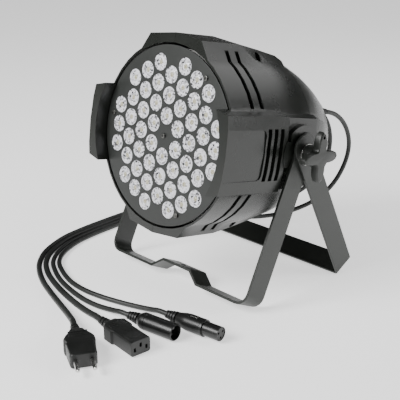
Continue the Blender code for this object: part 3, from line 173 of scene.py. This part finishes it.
ROUTES = {
    "xlr_female": [
        (0.035, 0.1398, 0.1762), (0.035, 0.160, 0.1695), (0.0345, 0.178, 0.1575),
        (0.034, 0.1915, 0.141), (0.0332, 0.1985, 0.122), (0.032, 0.1970, 0.103),
        (0.029, 0.190, 0.084), (0.0235, 0.181, 0.067), (0.014, 0.172, 0.052),
        (0.002, 0.163, 0.0395), (-0.014, 0.155, 0.0285), (-0.032, 0.147, 0.0190),
        (-0.052, 0.139, 0.0115), (-0.074, 0.130, 0.0058), (-0.097, 0.120, 0.0035),
        (-0.119, 0.1105, 0.0032), (-0.141, 0.0995, 0.0031), (-0.160, 0.0855, 0.0031),
        (-0.175, 0.067, 0.0031), (-0.185, 0.045, 0.0031), (-0.1900, 0.018, 0.0031),
        (-0.1905, -0.010, 0.0031), (-0.1885, -0.038, 0.0031), (-0.1855, -0.066, 0.0031),
        (-0.1785, -0.099, 0.0031), (-0.163, -0.131, 0.0031), (-0.144, -0.152, 0.0031),
        (-0.120, -0.165, 0.0031), (-0.088, -0.1755, 0.0031), (-0.058, -0.178, 0.0031),
        (-0.030, -0.1745, 0.0031), (-0.003, -0.1680, 0.0033), (0.021, -0.1625, 0.0048),
        (0.039, -0.1595, 0.0072),
    ],
    "xlr_male": [
        (0.0117, 0.1398, 0.1762), (0.0117, 0.156, 0.170), (0.0115, 0.171, 0.159),
        (0.011, 0.182, 0.143), (0.0105, 0.187, 0.125), (0.0095, 0.186, 0.107),
        (0.006, 0.181, 0.090), (0.0002, 0.175, 0.075), (-0.009, 0.1685, 0.061),
        (-0.021, 0.162, 0.049), (-0.037, 0.155, 0.0375), (-0.055, 0.149, 0.027),
        (-0.075, 0.141, 0.018), (-0.097, 0.132, 0.0105), (-0.120, 0.1215, 0.0055),
        (-0.143, 0.1095, 0.0032), (-0.163, 0.096, 0.0031), (-0.1795, 0.079, 0.0031),
        (-0.1905, 0.056, 0.0031), (-0.1965, 0.029, 0.0031), (-0.1980, 0.000, 0.0031),
        (-0.1960, -0.035, 0.0031), (-0.1930, -0.066, 0.0031), (-0.1860, -0.101, 0.0031),
        (-0.1690, -0.1355, 0.0031), (-0.1485, -0.1580, 0.0031), (-0.1240, -0.1720, 0.0031),
        (-0.096, -0.1830, 0.0031), (-0.068, -0.1893, 0.0031), (-0.040, -0.1925, 0.0031),
        (-0.014, -0.1925, 0.0042), (0.010, -0.1905, 0.0070),
    ],
    "mains_out": [
        (-0.0117, 0.1398, 0.1762), (-0.0117, 0.155, 0.170), (-0.012, 0.169, 0.159),
        (-0.0125, 0.180, 0.144), (-0.0135, 0.185, 0.126), (-0.015, 0.184, 0.108),
        (-0.019, 0.180, 0.091), (-0.025, 0.175, 0.076), (-0.034, 0.170, 0.062),
        (-0.046, 0.165, 0.050), (-0.062, 0.160, 0.0385), (-0.080, 0.155, 0.028),
        (-0.100, 0.147, 0.019), (-0.122, 0.137, 0.0115), (-0.145, 0.1245, 0.006),
        (-0.167, 0.1095, 0.0038), (-0.185, 0.0920, 0.0037), (-0.1975, 0.070, 0.0037),
        (-0.2040, 0.044, 0.0037), (-0.2060, 0.015, 0.0037), (-0.2055, -0.010, 0.0037),
        (-0.2035, -0.038, 0.0037), (-0.2005, -0.068, 0.0037), (-0.1935, -0.1035, 0.0037),
        (-0.1755, -0.1405, 0.0037), (-0.1540, -0.1645, 0.0037), (-0.1290, -0.1800, 0.0037),
        (-0.104, -0.1900, 0.0037), (-0.078, -0.1975, 0.0037), (-0.050, -0.2035, 0.0037),
        (-0.024, -0.2080, 0.0045), (-0.001, -0.2120, 0.0070),
    ],
    "mains_in": [
        (-0.035, 0.1398, 0.1762), (-0.035, 0.155, 0.170), (-0.0355, 0.169, 0.159),
        (-0.036, 0.180, 0.144), (-0.037, 0.185, 0.126), (-0.039, 0.184, 0.108),
        (-0.043, 0.180, 0.091), (-0.049, 0.176, 0.076), (-0.058, 0.1715, 0.062),
        (-0.070, 0.168, 0.050), (-0.086, 0.164, 0.0385), (-0.104, 0.159, 0.028),
        (-0.124, 0.152, 0.019), (-0.146, 0.142, 0.0115), (-0.169, 0.1275, 0.006),
        (-0.190, 0.1085, 0.0038), (-0.204, 0.085, 0.0037), (-0.2115, 0.058, 0.0037),
        (-0.2140, 0.028, 0.0037), (-0.2140, 0.000, 0.0037), (-0.2115, -0.036, 0.0037),
        (-0.2080, -0.070, 0.0037), (-0.2005, -0.107, 0.0037), (-0.1815, -0.1455, 0.0037),
        (-0.1590, -0.1705, 0.0037), (-0.1355, -0.1870, 0.0037), (-0.106, -0.2010, 0.0037),
        (-0.076, -0.2110, 0.0037), (-0.046, -0.2200, 0.0040), (-0.020, -0.2285, 0.0056),
        (-0.001, -0.2360, 0.0080),
    ],
}
ENDS = {
    "xlr_female": ((0.0620, -0.1568, 0.0096), 8.0),
    "xlr_male": ((0.0353, -0.1878, 0.0096), 9.0),
    "mains_out": ((0.0227, -0.2150, 0.0090), -5.0),
    "mains_in": ((0.0148, -0.2443, 0.0092), -28.4),
}
GLAND_X = {"xlr_female": 0.03495, "xlr_male": 0.01165, "mains_out": -0.01165, "mains_in": -0.03495}
GLAND_MOUTH_Y = 0.2276
GLAND_Z = 0.035
LEAD_D = {"xlr_female": 0.006, "xlr_male": 0.006, "mains_out": 0.007, "mains_in": 0.007}
LEAD_EASE = 5
LEAD_FACETS = 5
STRAIGHT_OUT = 0.004
LAST_RUN = (-0.012, -0.0003)
CORD_RUBBER = coated("cord_rubber", (0.016, 0.0175, 0.016), (0.026, 0.028, 0.026), (0.40, 0.52),
                     25.0, 1400.0, 0.00006)
on_floor = Matrix.Translation((0, PIVOT.y, 0))
tip = {}
leads = {}
for name, route in ROUTES.items():
    start = LAMP @ Vector((GLAND_X[name], GLAND_MOUTH_Y, GLAND_Z))
    out = LAMP.to_3x3() @ Vector((0, 1, 0))
    end, heading = ENDS[name]
    tip[name] = (Matrix.Translation(on_floor @ Vector(end))
                 @ Matrix.Rotation(math.radians(heading), 4, "Z"))
    points = [start, start + out * STRAIGHT_OUT] + [on_floor @ Vector(p) for p in route]
    points += [tip[name] @ Vector((x, 0, 0)) for x in LAST_RUN]
    ghosts = [2 * points[0] - points[1]] + points + [2 * points[-1] - points[-2]]
    smooth = []
    for a, b, c, d in zip(ghosts, ghosts[1:], ghosts[2:], ghosts[3:]):
        for step in range(LEAD_EASE):
            t = step / LEAD_EASE
            smooth.append(0.5 * (2 * b + (c - a) * t + (2 * a - 5 * b + 4 * c - d) * t * t
                                 + (3 * b - a - 3 * c + d) * t ** 3))
    smooth.append(points[-1])
    line = bpy.data.curves.new(f"lead_{name}", "CURVE")
    line.dimensions = "3D"
    spline = line.splines.new("POLY")
    spline.points.add(len(smooth) - 1)
    for slot, point in zip(spline.points, smooth):
        slot.co = (*point, 1)
    line.bevel_depth = LEAD_D[name] / 2
    line.bevel_resolution = LEAD_FACETS
    line.use_fill_caps = True
    line.materials.append(CORD_RUBBER)
    leads[name] = bpy.data.objects.new(f"lead_{name}", line)
    scene.collection.objects.link(leads[name])
    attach(leads[name], "can")
    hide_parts(f"cord_{name}")


# ---- Housing ----
# Two deep halves and a rear cap, moulded in black glass-filled plastic with a fine spark grain, and
# screwed together through the top and bottom ribs. Every outer edge carries a small radius.
HOUSING_EDGE = 0.0006
MERGE = 0.00001
FLAT = math.radians(0.5)
SHARP = math.radians(38)
HOUSING = coated("housing_black", (0.0080, 0.0096, 0.0076), (0.0115, 0.0132, 0.0108), (0.24, 0.32),
                 14.0, 1700.0, 0.00005)
BLACK_STEEL = coated("black_steel", (0.04, 0.04, 0.04), (0.06, 0.06, 0.06), (0.3, 0.4),
                     60.0, 1500.0, 0.00003, metallic=0.8)


def only(obj):
    bpy.ops.object.select_all(action="DESELECT")
    obj.select_set(True)
    bpy.context.view_layer.objects.active = obj


def apply_modifier(obj, kind, **settings):
    only(obj)
    step = obj.modifiers.new(kind.lower(), kind)
    for key, value in settings.items():
        setattr(step, key, value)
    bpy.ops.object.modifier_apply(modifier=step.name)


def finished(made, body, paint):
    """Gives a piece its one finish, clean shading and its place among the moving bodies."""
    only(made)
    made.data.materials.clear()
    made.data.materials.append(paint)
    bpy.ops.object.shade_smooth_by_angle(angle=SHARP)
    apply_modifier(made, "WEIGHTED_NORMAL", keep_sharp=True)
    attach(made, body)


def softened(name, node, body, paint, edge, steps=2):
    """A copy of a solid with its flat faces made whole and its sharp edges rounded."""
    made = bpy.data.objects.new(name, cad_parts[node].data.copy())
    scene.collection.objects.link(made)
    only(made)
    bpy.ops.object.mode_set(mode="EDIT")
    bpy.ops.mesh.select_all(action="SELECT")
    bpy.ops.mesh.remove_doubles(threshold=MERGE)
    bpy.ops.mesh.dissolve_limited(angle_limit=FLAT)
    bpy.ops.mesh.normals_make_consistent(inside=False)
    bpy.ops.object.mode_set(mode="OBJECT")
    apply_modifier(made, "BEVEL", width=edge, segments=steps, limit_method="ANGLE",
                   angle_limit=SHARP, use_clamp_overlap=True, harden_normals=False,
                   miter_outer="MITER_ARC")
    finished(made, body, paint)
    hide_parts(node)
    return made


def painted(paint, *nodes):
    """Gives solids that show as they are a finish."""
    for node in nodes:
        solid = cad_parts[node]
        solid.data.materials.clear()
        solid.data.materials.append(paint)


for word in ("left", "right"):
    softened(f"half_{word}", f"housing_{word}", "can", HOUSING, HOUSING_EDGE)
softened("cap", "rear_cap", "can", HOUSING, HOUSING_EDGE)
painted(BLACK_STEEL, "housing_screw_top", "housing_screw_bottom")

# ---- Inside ----
# Behind the lenses stands a white emitter board on a finned aluminium sink, cooled by a black
# moulded fan. The supply in its aluminium case and the green control board fill the back.
painted(coated("board_white", (0.74, 0.74, 0.72), (0.82, 0.82, 0.80), (0.4, 0.5),
               90.0, 900.0, 0.00005), "led_board")
painted(coated("board_green", (0.03, 0.13, 0.06), (0.05, 0.18, 0.09), (0.4, 0.5),
               90.0, 900.0, 0.00005), "control_board")
painted(coated("aluminium", (0.62, 0.63, 0.64), (0.74, 0.75, 0.76), (0.3, 0.42),
               60.0, 1500.0, 0.00005, metallic=1.0), "heat_sink", "power_supply")
painted(coated("fan_black", (0.018, 0.018, 0.02), (0.028, 0.028, 0.03), (0.45, 0.55),
               60.0, 1200.0, 0.00005), "fan_frame", "fan_rotor")

# ---- Front panel ----
# A thin sprayed disc that closes the mouth of the barrel inside a dark gap, with a round window
# for each lens and four small screws. Lenses stand in four six-sided rings, without the corners.
LENS_PITCH = 0.0225
LENS_D = 0.0194
LENS_RINGS = 4
PANEL_R = 0.0993
PANEL_FRONT = -0.0015
PANEL_T = 0.0024
PANEL_SIDES = 128
PANEL_EDGE = 0.00045
PANEL_EDGE_ANGLE = math.radians(40)
WINDOW_SIDES = 32
WINDOW_PAST = 0.004
PANEL_GREY = coated("panel_grey", (0.0150, 0.0170, 0.0150), (0.0200, 0.0220, 0.0200), (0.40, 0.48),
                    18.0, 1500.0, 0.00005)
lens_places = []
for q in range(-LENS_RINGS, LENS_RINGS + 1):
    for r in range(-LENS_RINGS, LENS_RINGS + 1):
        ring = max(abs(q), abs(r), abs(q + r))
        corner = ring == LENS_RINGS and 0 in (q, r, q + r)
        if 0 < ring <= LENS_RINGS and not corner:
            lens_places.append((LENS_PITCH * math.sqrt(3) / 2 * q, LENS_PITCH * (r + q / 2)))


def settle(obj, place):
    obj.matrix_world = place @ obj.matrix_world
    only(obj)
    bpy.ops.object.transform_apply(location=True, rotation=True, scale=True)


def drum(name, sides, radius, y_low, y_high, x=0.0, z=0.0):
    """A round bar along the lamp's axis."""
    bpy.ops.object.select_all(action="DESELECT")
    bpy.ops.mesh.primitive_cylinder_add(vertices=sides, radius=radius, depth=y_high - y_low,
                                        location=(x, (y_low + y_high) / 2, z),
                                        rotation=(math.pi / 2, 0, 0))
    made = bpy.context.object
    made.name = name
    bpy.ops.object.transform_apply(location=True, rotation=True, scale=True)
    return made


def slab(middle, sides, turn=(0, 0, 0)):
    """A plain bar, to be cut with or rounded."""
    bpy.ops.object.select_all(action="DESELECT")
    bpy.ops.mesh.primitive_cube_add(size=1.0, location=middle, rotation=turn, scale=sides)
    made = bpy.context.object
    bpy.ops.object.transform_apply(location=True, rotation=True, scale=True)
    return made


def joined(objs):
    bpy.ops.object.select_all(action="DESELECT")
    for obj in objs:
        obj.select_set(True)
    bpy.context.view_layer.objects.active = objs[0]
    bpy.ops.object.join()
    return bpy.context.object


def choose_front(obj):
    """Goes into edit mode with just the front faces of a bar chosen."""
    facing = -0.9
    only(obj)
    bpy.ops.object.mode_set(mode="EDIT")
    bpy.ops.mesh.select_mode(type="FACE")
    bpy.ops.mesh.select_all(action="DESELECT")
    bpy.ops.object.mode_set(mode="OBJECT")
    for face in obj.data.polygons:
        face.select = face.normal.y < facing
    bpy.ops.object.mode_set(mode="EDIT")


def carved(obj, cutter):
    apply_modifier(obj, "BOOLEAN", operation="DIFFERENCE", object=cutter, solver="EXACT")
    bpy.data.objects.remove(cutter)


panel = drum("panel", PANEL_SIDES, PANEL_R, PANEL_FRONT, PANEL_FRONT + PANEL_T)
windows = joined([drum("window", WINDOW_SIDES, LENS_D / 2, PANEL_FRONT - WINDOW_PAST,
                       PANEL_FRONT + PANEL_T + WINDOW_PAST, x, z) for x, z in lens_places])
carved(panel, windows)
apply_modifier(panel, "BEVEL", width=PANEL_EDGE, segments=2, limit_method="ANGLE",
               angle_limit=PANEL_EDGE_ANGLE, use_clamp_overlap=True)
settle(panel, LAMP)
finished(panel, "can", PANEL_GREY)
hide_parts("front_panel")

# ---- Lenses ----
# One clear acrylic collimator over each four-chip emitter: a shallow crown with a dimpled middle,
# in a moulded collar.
# The light it breaks into bright and dark flecks is painted into its colour as white painted
# highlights and dark painted shade.
LENS_FACE = -0.0010
LENS_DEPTH = 0.003
LENS_SIDES = 24
LENS_PLAY = 0.0003
LENS_STEPS = ((0.0009, 0.0), (0.0004, -0.0005), (0.0014, 0.0011), (0.0019, 0.0005),
              (0.0008, -0.0014), (0.0012, -0.0004))
CHIP_REACH = 0.0005
PLATE_FRONT = 0.0012
PLATE_BACK = 0.0032
PLATE_INSIDE = 0.001
PLATE_SIDES = 64
# The lens flecks are painted light: white painted highlights with dark flecks of painted shade.
PAINTED_FLECKS_PER_M = 500.0
PAINTED_SHADE_FLECK = (0.07, 0.07, 0.075)
PAINTED_LIGHT_FLECK = (0.80, 0.80, 0.84)
clear = bpy.data.materials.new("lens_clear")
clear.use_nodes = True
tree = clear.node_tree
shader = tree.nodes["Principled BSDF"]
shader.inputs["Roughness"].default_value = 0.10
shader.inputs["Coat Weight"].default_value = 0.6
shader.inputs["Coat Roughness"].default_value = 0.04
where = tree.nodes.new("ShaderNodeTexCoord").outputs["Object"]
# Painted light: Voronoi cells set the lens colour to white painted highlights and dark flecks of
# painted shade.
cells = tree.nodes.new("ShaderNodeTexVoronoi")
cells.inputs["Scale"].default_value = PAINTED_FLECKS_PER_M
tree.links.new(where, cells.inputs["Vector"])
painted_light_tones = tree.nodes.new("ShaderNodeValToRGB")
for stop, position, color in zip(painted_light_tones.color_ramp.elements, (0.20, 0.45),
                                 (PAINTED_SHADE_FLECK, PAINTED_LIGHT_FLECK)):
    stop.position = position
    stop.color = (*color, 1)
tree.links.new(cells.outputs["Color"], painted_light_tones.inputs["Fac"])
tree.links.new(painted_light_tones.outputs["Color"], shader.inputs["Base Color"])
facets = tree.nodes.new("ShaderNodeBump")
facets.inputs["Strength"].default_value = 0.8
facets.inputs["Distance"].default_value = 0.0006
tree.links.new(cells.outputs["Distance"], facets.inputs["Height"])
tree.links.new(facets.outputs["Normal"], shader.inputs["Normal"])
chip = coated("led_chips", (0.22, 0.20, 0.12), (0.62, 0.60, 0.48), (0.2, 0.4), 900.0, 2500.0,
              0.00004)

first = drum("lens", LENS_SIDES, LENS_D / 2 - LENS_PLAY, LENS_FACE, LENS_FACE + LENS_DEPTH)
choose_front(first)
for thickness, depth in LENS_STEPS:
    bpy.ops.mesh.inset(thickness=thickness, depth=depth)
bpy.ops.object.mode_set(mode="OBJECT")
first.data.materials.append(clear)
first.data.materials.append(chip)
for face in first.data.polygons:
    face.material_index = int(face.normal.y < -0.99 and abs(face.center.x) < CHIP_REACH
                              and abs(face.center.z) < CHIP_REACH)
lenses = []
for x, z in lens_places:
    lens = first.copy()
    lens.data = first.data.copy()
    scene.collection.objects.link(lens)
    lens.location = (x, 0, z)
    only(lens)
    bpy.ops.object.transform_apply(location=True, rotation=True, scale=True)
    lenses.append(lens)
bpy.data.objects.remove(first)
plate = drum("plate", PLATE_SIDES, PANEL_R - PLATE_INSIDE, PLATE_FRONT, PLATE_BACK)
lens_block = joined(lenses + [plate])
lens_block.name = "lens_block"
settle(lens_block, LAMP)
only(lens_block)
bpy.ops.object.shade_smooth_by_angle(angle=math.radians(20))
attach(lens_block, "can")
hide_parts("lens_array")

# ---- Panel and cap screws ----
# Small plated pan-head screws with a cross recess, four through the front panel and four through
# the rear one, driven into bosses in the mouldings. No two heads stop at the same turn.
SCREW_R = 0.0026
SCREW_SIDES = 24
SCREW_HEAD = 0.0016
SCREW_RIM = 0.0004
SCREW_CROWN = 0.0002
SHANK_R = 0.0013
SHANK_SIDES = 12
SHANK_LENGTH = 0.009
SHANK_LAP = 0.0001
RECESS = (0.0030, 0.0018, 0.0006)
RECESS_TURN = 0.4
SEAT_FRONT = PANEL_FRONT - 0.0003
SEAT_REAR = 0.2161
TURN_EACH = 0.7
SCREW_TONE = coated("screw_steel", (0.10, 0.10, 0.095), (0.20, 0.20, 0.19), (0.28, 0.40), 200.0,
                    2500.0, 0.00002, metallic=1.0)
pattern = drum("screw", SCREW_SIDES, SCREW_R, -SCREW_HEAD, 0.0)
choose_front(pattern)
bpy.ops.mesh.inset(thickness=SCREW_RIM, depth=0.0)
bpy.ops.transform.translate(value=(0, -SCREW_CROWN, 0))
bpy.ops.object.mode_set(mode="OBJECT")
bars = [slab((0, -SCREW_HEAD, 0), RECESS, turn=(0, turn, 0))
        for turn in (RECESS_TURN, RECESS_TURN + math.pi / 2)]
for bar in bars:
    carved(pattern, bar)
shank = drum("shank", SHANK_SIDES, SHANK_R, -SHANK_LAP, SHANK_LENGTH)
pattern = joined([pattern, shank])
for where_to, seat, about in (("panel", SEAT_FRONT, 0.0), ("rear", SEAT_REAR, math.pi)):
    for number in range(1, 5):
        node = f"{where_to}_screw_{number}"
        low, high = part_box(node)
        place = LAMP.inverted() @ ((low + high) / 2)
        screw = pattern.copy()
        screw.data = pattern.data.copy()
        screw.name = f"cross_{node}"
        scene.collection.objects.link(screw)
        screw.matrix_world = (Matrix.Translation((place.x, seat, place.z))
                              @ Matrix.Rotation(about, 4, "Z")
                              @ Matrix.Rotation(TURN_EACH * number, 4, "Y"))
        settle(screw, LAMP)
        finished(screw, "can", SCREW_TONE)
        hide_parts(node)
bpy.data.objects.remove(pattern)

# ---- Rear panel ----
# A flat moulded plate let into the cap. It carries a smoked red window over a four-figure readout
# and, under that, a row of four grey rubber keys that press in.
DIGITS = 4
DIGIT_PITCH = 0.0096
DIGIT_Y = 0.21535
DIGIT_DROP = 0.002
DIGIT_EDGE = 0.00012
BAR_REACH = 0.0027
BAR_RISE = 0.0031
BAR_ACROSS = (0.0042, 0.0003, 0.0009)
BAR_UPRIGHT = (0.0009, 0.0003, 0.0048)
DIGIT_BARS = [(0, rise, BAR_ACROSS) for rise in (2 * BAR_RISE, 0, -2 * BAR_RISE)]
DIGIT_BARS += [(reach, rise, BAR_UPRIGHT) for reach in (BAR_REACH, -BAR_REACH)
               for rise in (BAR_RISE, -BAR_RISE)]
SEGMENT_RED = coated("segment_red", (0.34, 0.02, 0.015), (0.46, 0.03, 0.02), (0.3, 0.4),
                     500.0, 2500.0, 0.00001)
painted(HOUSING, "rear_panel")
painted(coated("display_red", (0.08, 0.008, 0.008), (0.12, 0.01, 0.01), (0.1, 0.16),
               60.0, 500.0, 0.00001), "display_module")
painted(coated("button_grey", (0.2, 0.2, 0.2), (0.27, 0.27, 0.27), (0.45, 0.55),
               60.0, 1200.0, 0.00004), *[f"menu_button_{number}" for number in range(1, 5)])
segments = []
for place in range(DIGITS):
    centre = (place - (DIGITS - 1) / 2) * DIGIT_PITCH
    segments += [slab((centre + reach, DIGIT_Y, rise - DIGIT_DROP), sides)
                 for reach, rise, sides in DIGIT_BARS]
readout = joined(segments)
readout.name = "readout"
apply_modifier(readout, "BEVEL", width=DIGIT_EDGE, segments=1)
settle(readout, LAMP)
finished(readout, "can", SEGMENT_RED)

# ---- Yokes ----
# Two straps of 3 mm steel, bent cold and powder coated grey-black, one inside the other at the
# pivot. The sheared edges are broken by hand before coating.
YOKE_EDGE = 0.0005
YOKE_PAINT = coated("yoke_paint", (0.0160, 0.0185, 0.0155), (0.0230, 0.0258, 0.0222), (0.36, 0.46),
                    20.0, 1100.0, 0.00008)
for name in ("front_yoke", "rear_yoke"):
    softened(f"strap_{name}", name, name, YOKE_PAINT, YOKE_EDGE)

# ---- Pivot hardware ----
# On each side a plated bolt, a plated washer and a four-lobed knob moulded in nylon that clamps
# the straps. A small eye goes through the knob's upper lobe.
BOLT_EDGE = 0.0003
RING_EDGE = 0.0002
KNOB_EDGE = 0.0008
EYE_R = 0.0019
EYE_SIDES = 20
EYE_DEPTH = 0.006
EYE_BACK = 0.0020
EYE_UP = 0.0225
STEEL = coated("plated_steel", (0.55, 0.55, 0.53), (0.66, 0.66, 0.64), (0.22, 0.34), 60.0, 2500.0,
               0.00002, metallic=1.0)
KNOB = coated("knob_plastic", (0.014, 0.016, 0.0135), (0.020, 0.022, 0.0195), (0.36, 0.46), 40.0,
              1500.0, 0.00006)
for word in ("left", "right"):
    softened(f"bolt_{word}", f"pivot_bolt_{word}", "can", STEEL, BOLT_EDGE)
    softened(f"ring_{word}", f"washer_{word}", "can", STEEL, RING_EDGE)
    star = softened(f"star_{word}", f"knob_{word}", f"knob_{word}", KNOB,
                    KNOB_EDGE, steps=3)
    low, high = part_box(f"knob_{word}")
    face_x = high.x if word == "right" else low.x
    bpy.ops.object.select_all(action="DESELECT")
    bpy.ops.mesh.primitive_cylinder_add(vertices=EYE_SIDES, radius=EYE_R, depth=EYE_DEPTH,
                                        location=(face_x, PIVOT.y + EYE_BACK, PIVOT.z + EYE_UP),
                                        rotation=(0, math.pi / 2, 0))
    eye = bpy.context.object
    bpy.ops.object.transform_apply(location=True, rotation=True, scale=True)
    carved(star, eye)

# ---- Glands ----
# Four nylon cable glands through the rear panel: a hexagon nut, a thread, and a soft ribbed tail
# that keeps the lead from kinking where it leaves.
NUT_SIDES = 6
NUT = [(0.2161, 0.0083), (0.2165, 0.0088), (0.2205, 0.0088), (0.2212, 0.0080)]
THREAD_SIDES = 24
THREAD = [(0.2095, 0.0060), (0.2163, 0.0060)]
TAIL_SIDES = 32
TAIL_ROOT = (0.2205, 0.0062)
TAIL_START = 0.2212
TAIL_END = 0.2390
TAIL_R = 0.0062
TAIL_WALL = 0.0007
TAIL_RIBS = 5
TAIL_GROOVE = 0.0006
RUBBER = coated("plug_rubber", (0.009, 0.0098, 0.009), (0.014, 0.015, 0.014), (0.38, 0.50), 40.0,
                1800.0, 0.00005)


def pulled(name, sides, stations):
    """A disc pulled along +X from station to station, its size changing on the way."""
    x, radius = stations[0]
    bpy.ops.object.select_all(action="DESELECT")
    bpy.ops.mesh.primitive_circle_add(vertices=sides, radius=radius, fill_type="NGON",
                                      location=(x, 0, 0), rotation=(0, math.pi / 2, 0))
    made = bpy.context.object
    made.name = name
    bpy.ops.object.transform_apply(location=True, rotation=True, scale=True)
    bpy.ops.object.mode_set(mode="EDIT")
    bpy.ops.mesh.select_all(action="SELECT")
    for next_x, next_radius in stations[1:]:
        bpy.ops.mesh.extrude_region_move(TRANSFORM_OT_translate={"value": (next_x - x, 0, 0)})
        scale = next_radius / radius
        bpy.ops.transform.resize(value=(1, scale, scale), center_override=(next_x, 0, 0))
        x, radius = next_x, next_radius
    bpy.ops.mesh.select_all(action="SELECT")
    bpy.ops.mesh.normals_make_consistent(inside=False)
    bpy.ops.object.mode_set(mode="OBJECT")
    return made


def ribbed(start, end, small, large, ribs, groove):
    """Stations of a flexible sleeve that swells along its length and is grooved between ribs."""
    swell, rib_from, rib_to, groove_to, chamfer = 0.6, 0.02, 0.68, 0.98, 0.0003
    stations = [(start, small)]
    pitch = (end - start) / ribs
    for i in range(ribs):
        radius = small + (large - small) * (i + swell) / ribs
        near, far = start + pitch * (i + rib_from), start + pitch * (i + rib_to)
        stations += [(near, radius - chamfer), (near + chamfer, radius), (far, radius),
                     (far + chamfer, radius - groove),
                     (start + pitch * (i + groove_to), radius - groove)]
    return stations + [(end, large)]


for name, across in GLAND_X.items():
    nut = pulled(f"nut_{name}", NUT_SIDES, NUT)
    tail = pulled(f"tail_{name}", TAIL_SIDES,
                  [TAIL_ROOT] + ribbed(TAIL_START, TAIL_END, TAIL_R,
                                       LEAD_D[name] / 2 + TAIL_WALL, TAIL_RIBS, TAIL_GROOVE)[1:])
    thread = pulled(f"thread_{name}", THREAD_SIDES, THREAD)
    gland = joined([nut, tail, thread])
    gland.name = f"clamp_{name}"
    settle(gland, Matrix.Translation((across, 0, GLAND_Z)) @ Matrix.Rotation(math.pi / 2, 4, "Z"))
    settle(gland, LAMP)
    finished(gland, "can", RUBBER)
    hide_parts(f"gland_{name}")

# ---- Boots and strain reliefs ----
# Each lead ends in a soft grooved sleeve moulded over it, which swells to meet the connector.
# The mains ones are moulded in one with the plug, the data ones screw on.
SLEEVE_SIDES = 32
BOOT = ribbed(0.0, 0.0155, 0.0042, 0.0068, 4, 0.0013)
RELIEF = ribbed(0.0, 0.0160, 0.0042, 0.0060, 3, 0.0012)
pieces_on = {name: [] for name in leads}
for name, lead, node, stations in (("boot_xlr_male", "xlr_male", "xlr_male_boot", BOOT),
                                   ("boot_xlr_female", "xlr_female", "xlr_female_boot", BOOT),
                                   ("relief_socket", "mains_out", "mains_socket_relief", RELIEF),
                                   ("relief_plug", "mains_in", "mains_plug_relief", RELIEF)):
    made = pulled(name, SLEEVE_SIDES, stations)
    settle(made, tip[lead])
    finished(made, "can", RUBBER)
    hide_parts(node)
    pieces_on[lead].append(made)

# ---- Mains plug and appliance connector ----
# Both bodies are moulded in one shot of soft black rubber round their contacts, with three raised
# bars to pull by and a low pad in front of them. The plug has two round plated pins.
BAR_HALF = 0.0100
BAR_LOW, BAR_HIGH = 0.0080, 0.0091
BARS = 3
BAR_ROUND = 0.0004
PAD_LOW = (0.0480, -0.0085, 0.0078)
PAD_HIGH = (0.0640, 0.0085, 0.0085)
PIN_EDGE = 0.0002


def grip(low, high, place):
    """A small raised bar with rounded edges, moulded on a plug's body."""
    made = slab([(a + b) / 2 for a, b in zip(low, high)], [b - a for a, b in zip(low, high)])
    apply_modifier(made, "BEVEL", width=BAR_ROUND, segments=2)
    settle(made, place)
    return made


for name, node, lead, edge, first_bar, bar_wide, bar_pitch in (
        ("body_plug", "mains_plug_body", "mains_in", 0.0006, 0.0250, 0.0018, 0.0042),
        ("body_socket", "mains_socket_body", "mains_out", 0.0005, 0.0268, 0.0016, 0.0034)):
    made = softened(name, node, "can", RUBBER, edge)
    bars = []
    for i in range(BARS):
        near = first_bar + bar_pitch * i
        bars.append(grip((near, -BAR_HALF, BAR_LOW), (near + bar_wide, BAR_HALF, BAR_HIGH),
                         tip[lead]))
    bars.append(grip(PAD_LOW, PAD_HIGH, tip[lead]))
    body = joined([made] + bars)
    body.data.materials.clear()
    body.data.materials.append(RUBBER)
    only(body)
    bpy.ops.object.shade_smooth_by_angle(angle=SHARP)
    pieces_on[lead].append(body)
for side in ("left", "right"):
    pieces_on["mains_in"].append(softened(f"pin_{side}", f"mains_plug_pin_{side}", "can",
                                          STEEL, PIN_EDGE))

# ---- Male data connector ----
# A turned and blackened metal shell, open in front, with a groove where the boot's collar ends.
# The insert with its three contacts is pressed in from behind.
XLR_R = 0.0094
XLR_SIDES = 48
MALE_SHELL = [(0.0158, 0.0066), (0.0162, 0.0070), (0.0200, 0.0088), (0.0215, XLR_R),
              (0.0262, XLR_R), (0.0264, XLR_R - 0.0004), (0.0270, XLR_R - 0.0004),
              (0.0272, XLR_R), (0.0632, XLR_R), (0.0640, XLR_R - 0.0006), (0.0640, 0.0081),
              (0.0637, 0.0078), (0.0480, 0.0078)]
SHELL = coated("plug_shell", (0.006, 0.0065, 0.006), (0.010, 0.0105, 0.010), (0.28, 0.36), 40.0,
               1800.0, 0.00002)
male = pulled("shell_xlr_male", XLR_SIDES, MALE_SHELL)
settle(male, tip["xlr_male"])
finished(male, "can", SHELL)
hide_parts("xlr_male_shell")
painted(STEEL, "xlr_male_insert")
pieces_on["xlr_male"] += [male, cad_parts["xlr_male_insert"]]

# ---- Female data connector ----
# The same blackened shell round a moulded insert with three holes, a thin raised ring behind its
# mouth, and a sprung steel latch that the thumb presses to let go.
FEMALE_EDGE = 0.0003
LATCH_EDGE = 0.0004
MOUTH_RING = [(0.0485, XLR_R - 0.0002), (0.0488, XLR_R), (0.0505, XLR_R),
              (0.0508, XLR_R - 0.0002)]
female = softened("body_xlr_female", "xlr_female_body", "can", SHELL, FEMALE_EDGE)
ring = pulled("ring_xlr_female", XLR_SIDES, MOUTH_RING)
settle(ring, tip["xlr_female"])
finished(ring, "can", SHELL)
latch = softened("thumb_latch", "xlr_female_latch", "latch", SCREW_TONE,
                 LATCH_EDGE)
painted(RUBBER, "xlr_female_insert")
pieces_on["xlr_female"] += [female, ring, latch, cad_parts["xlr_female_insert"]]
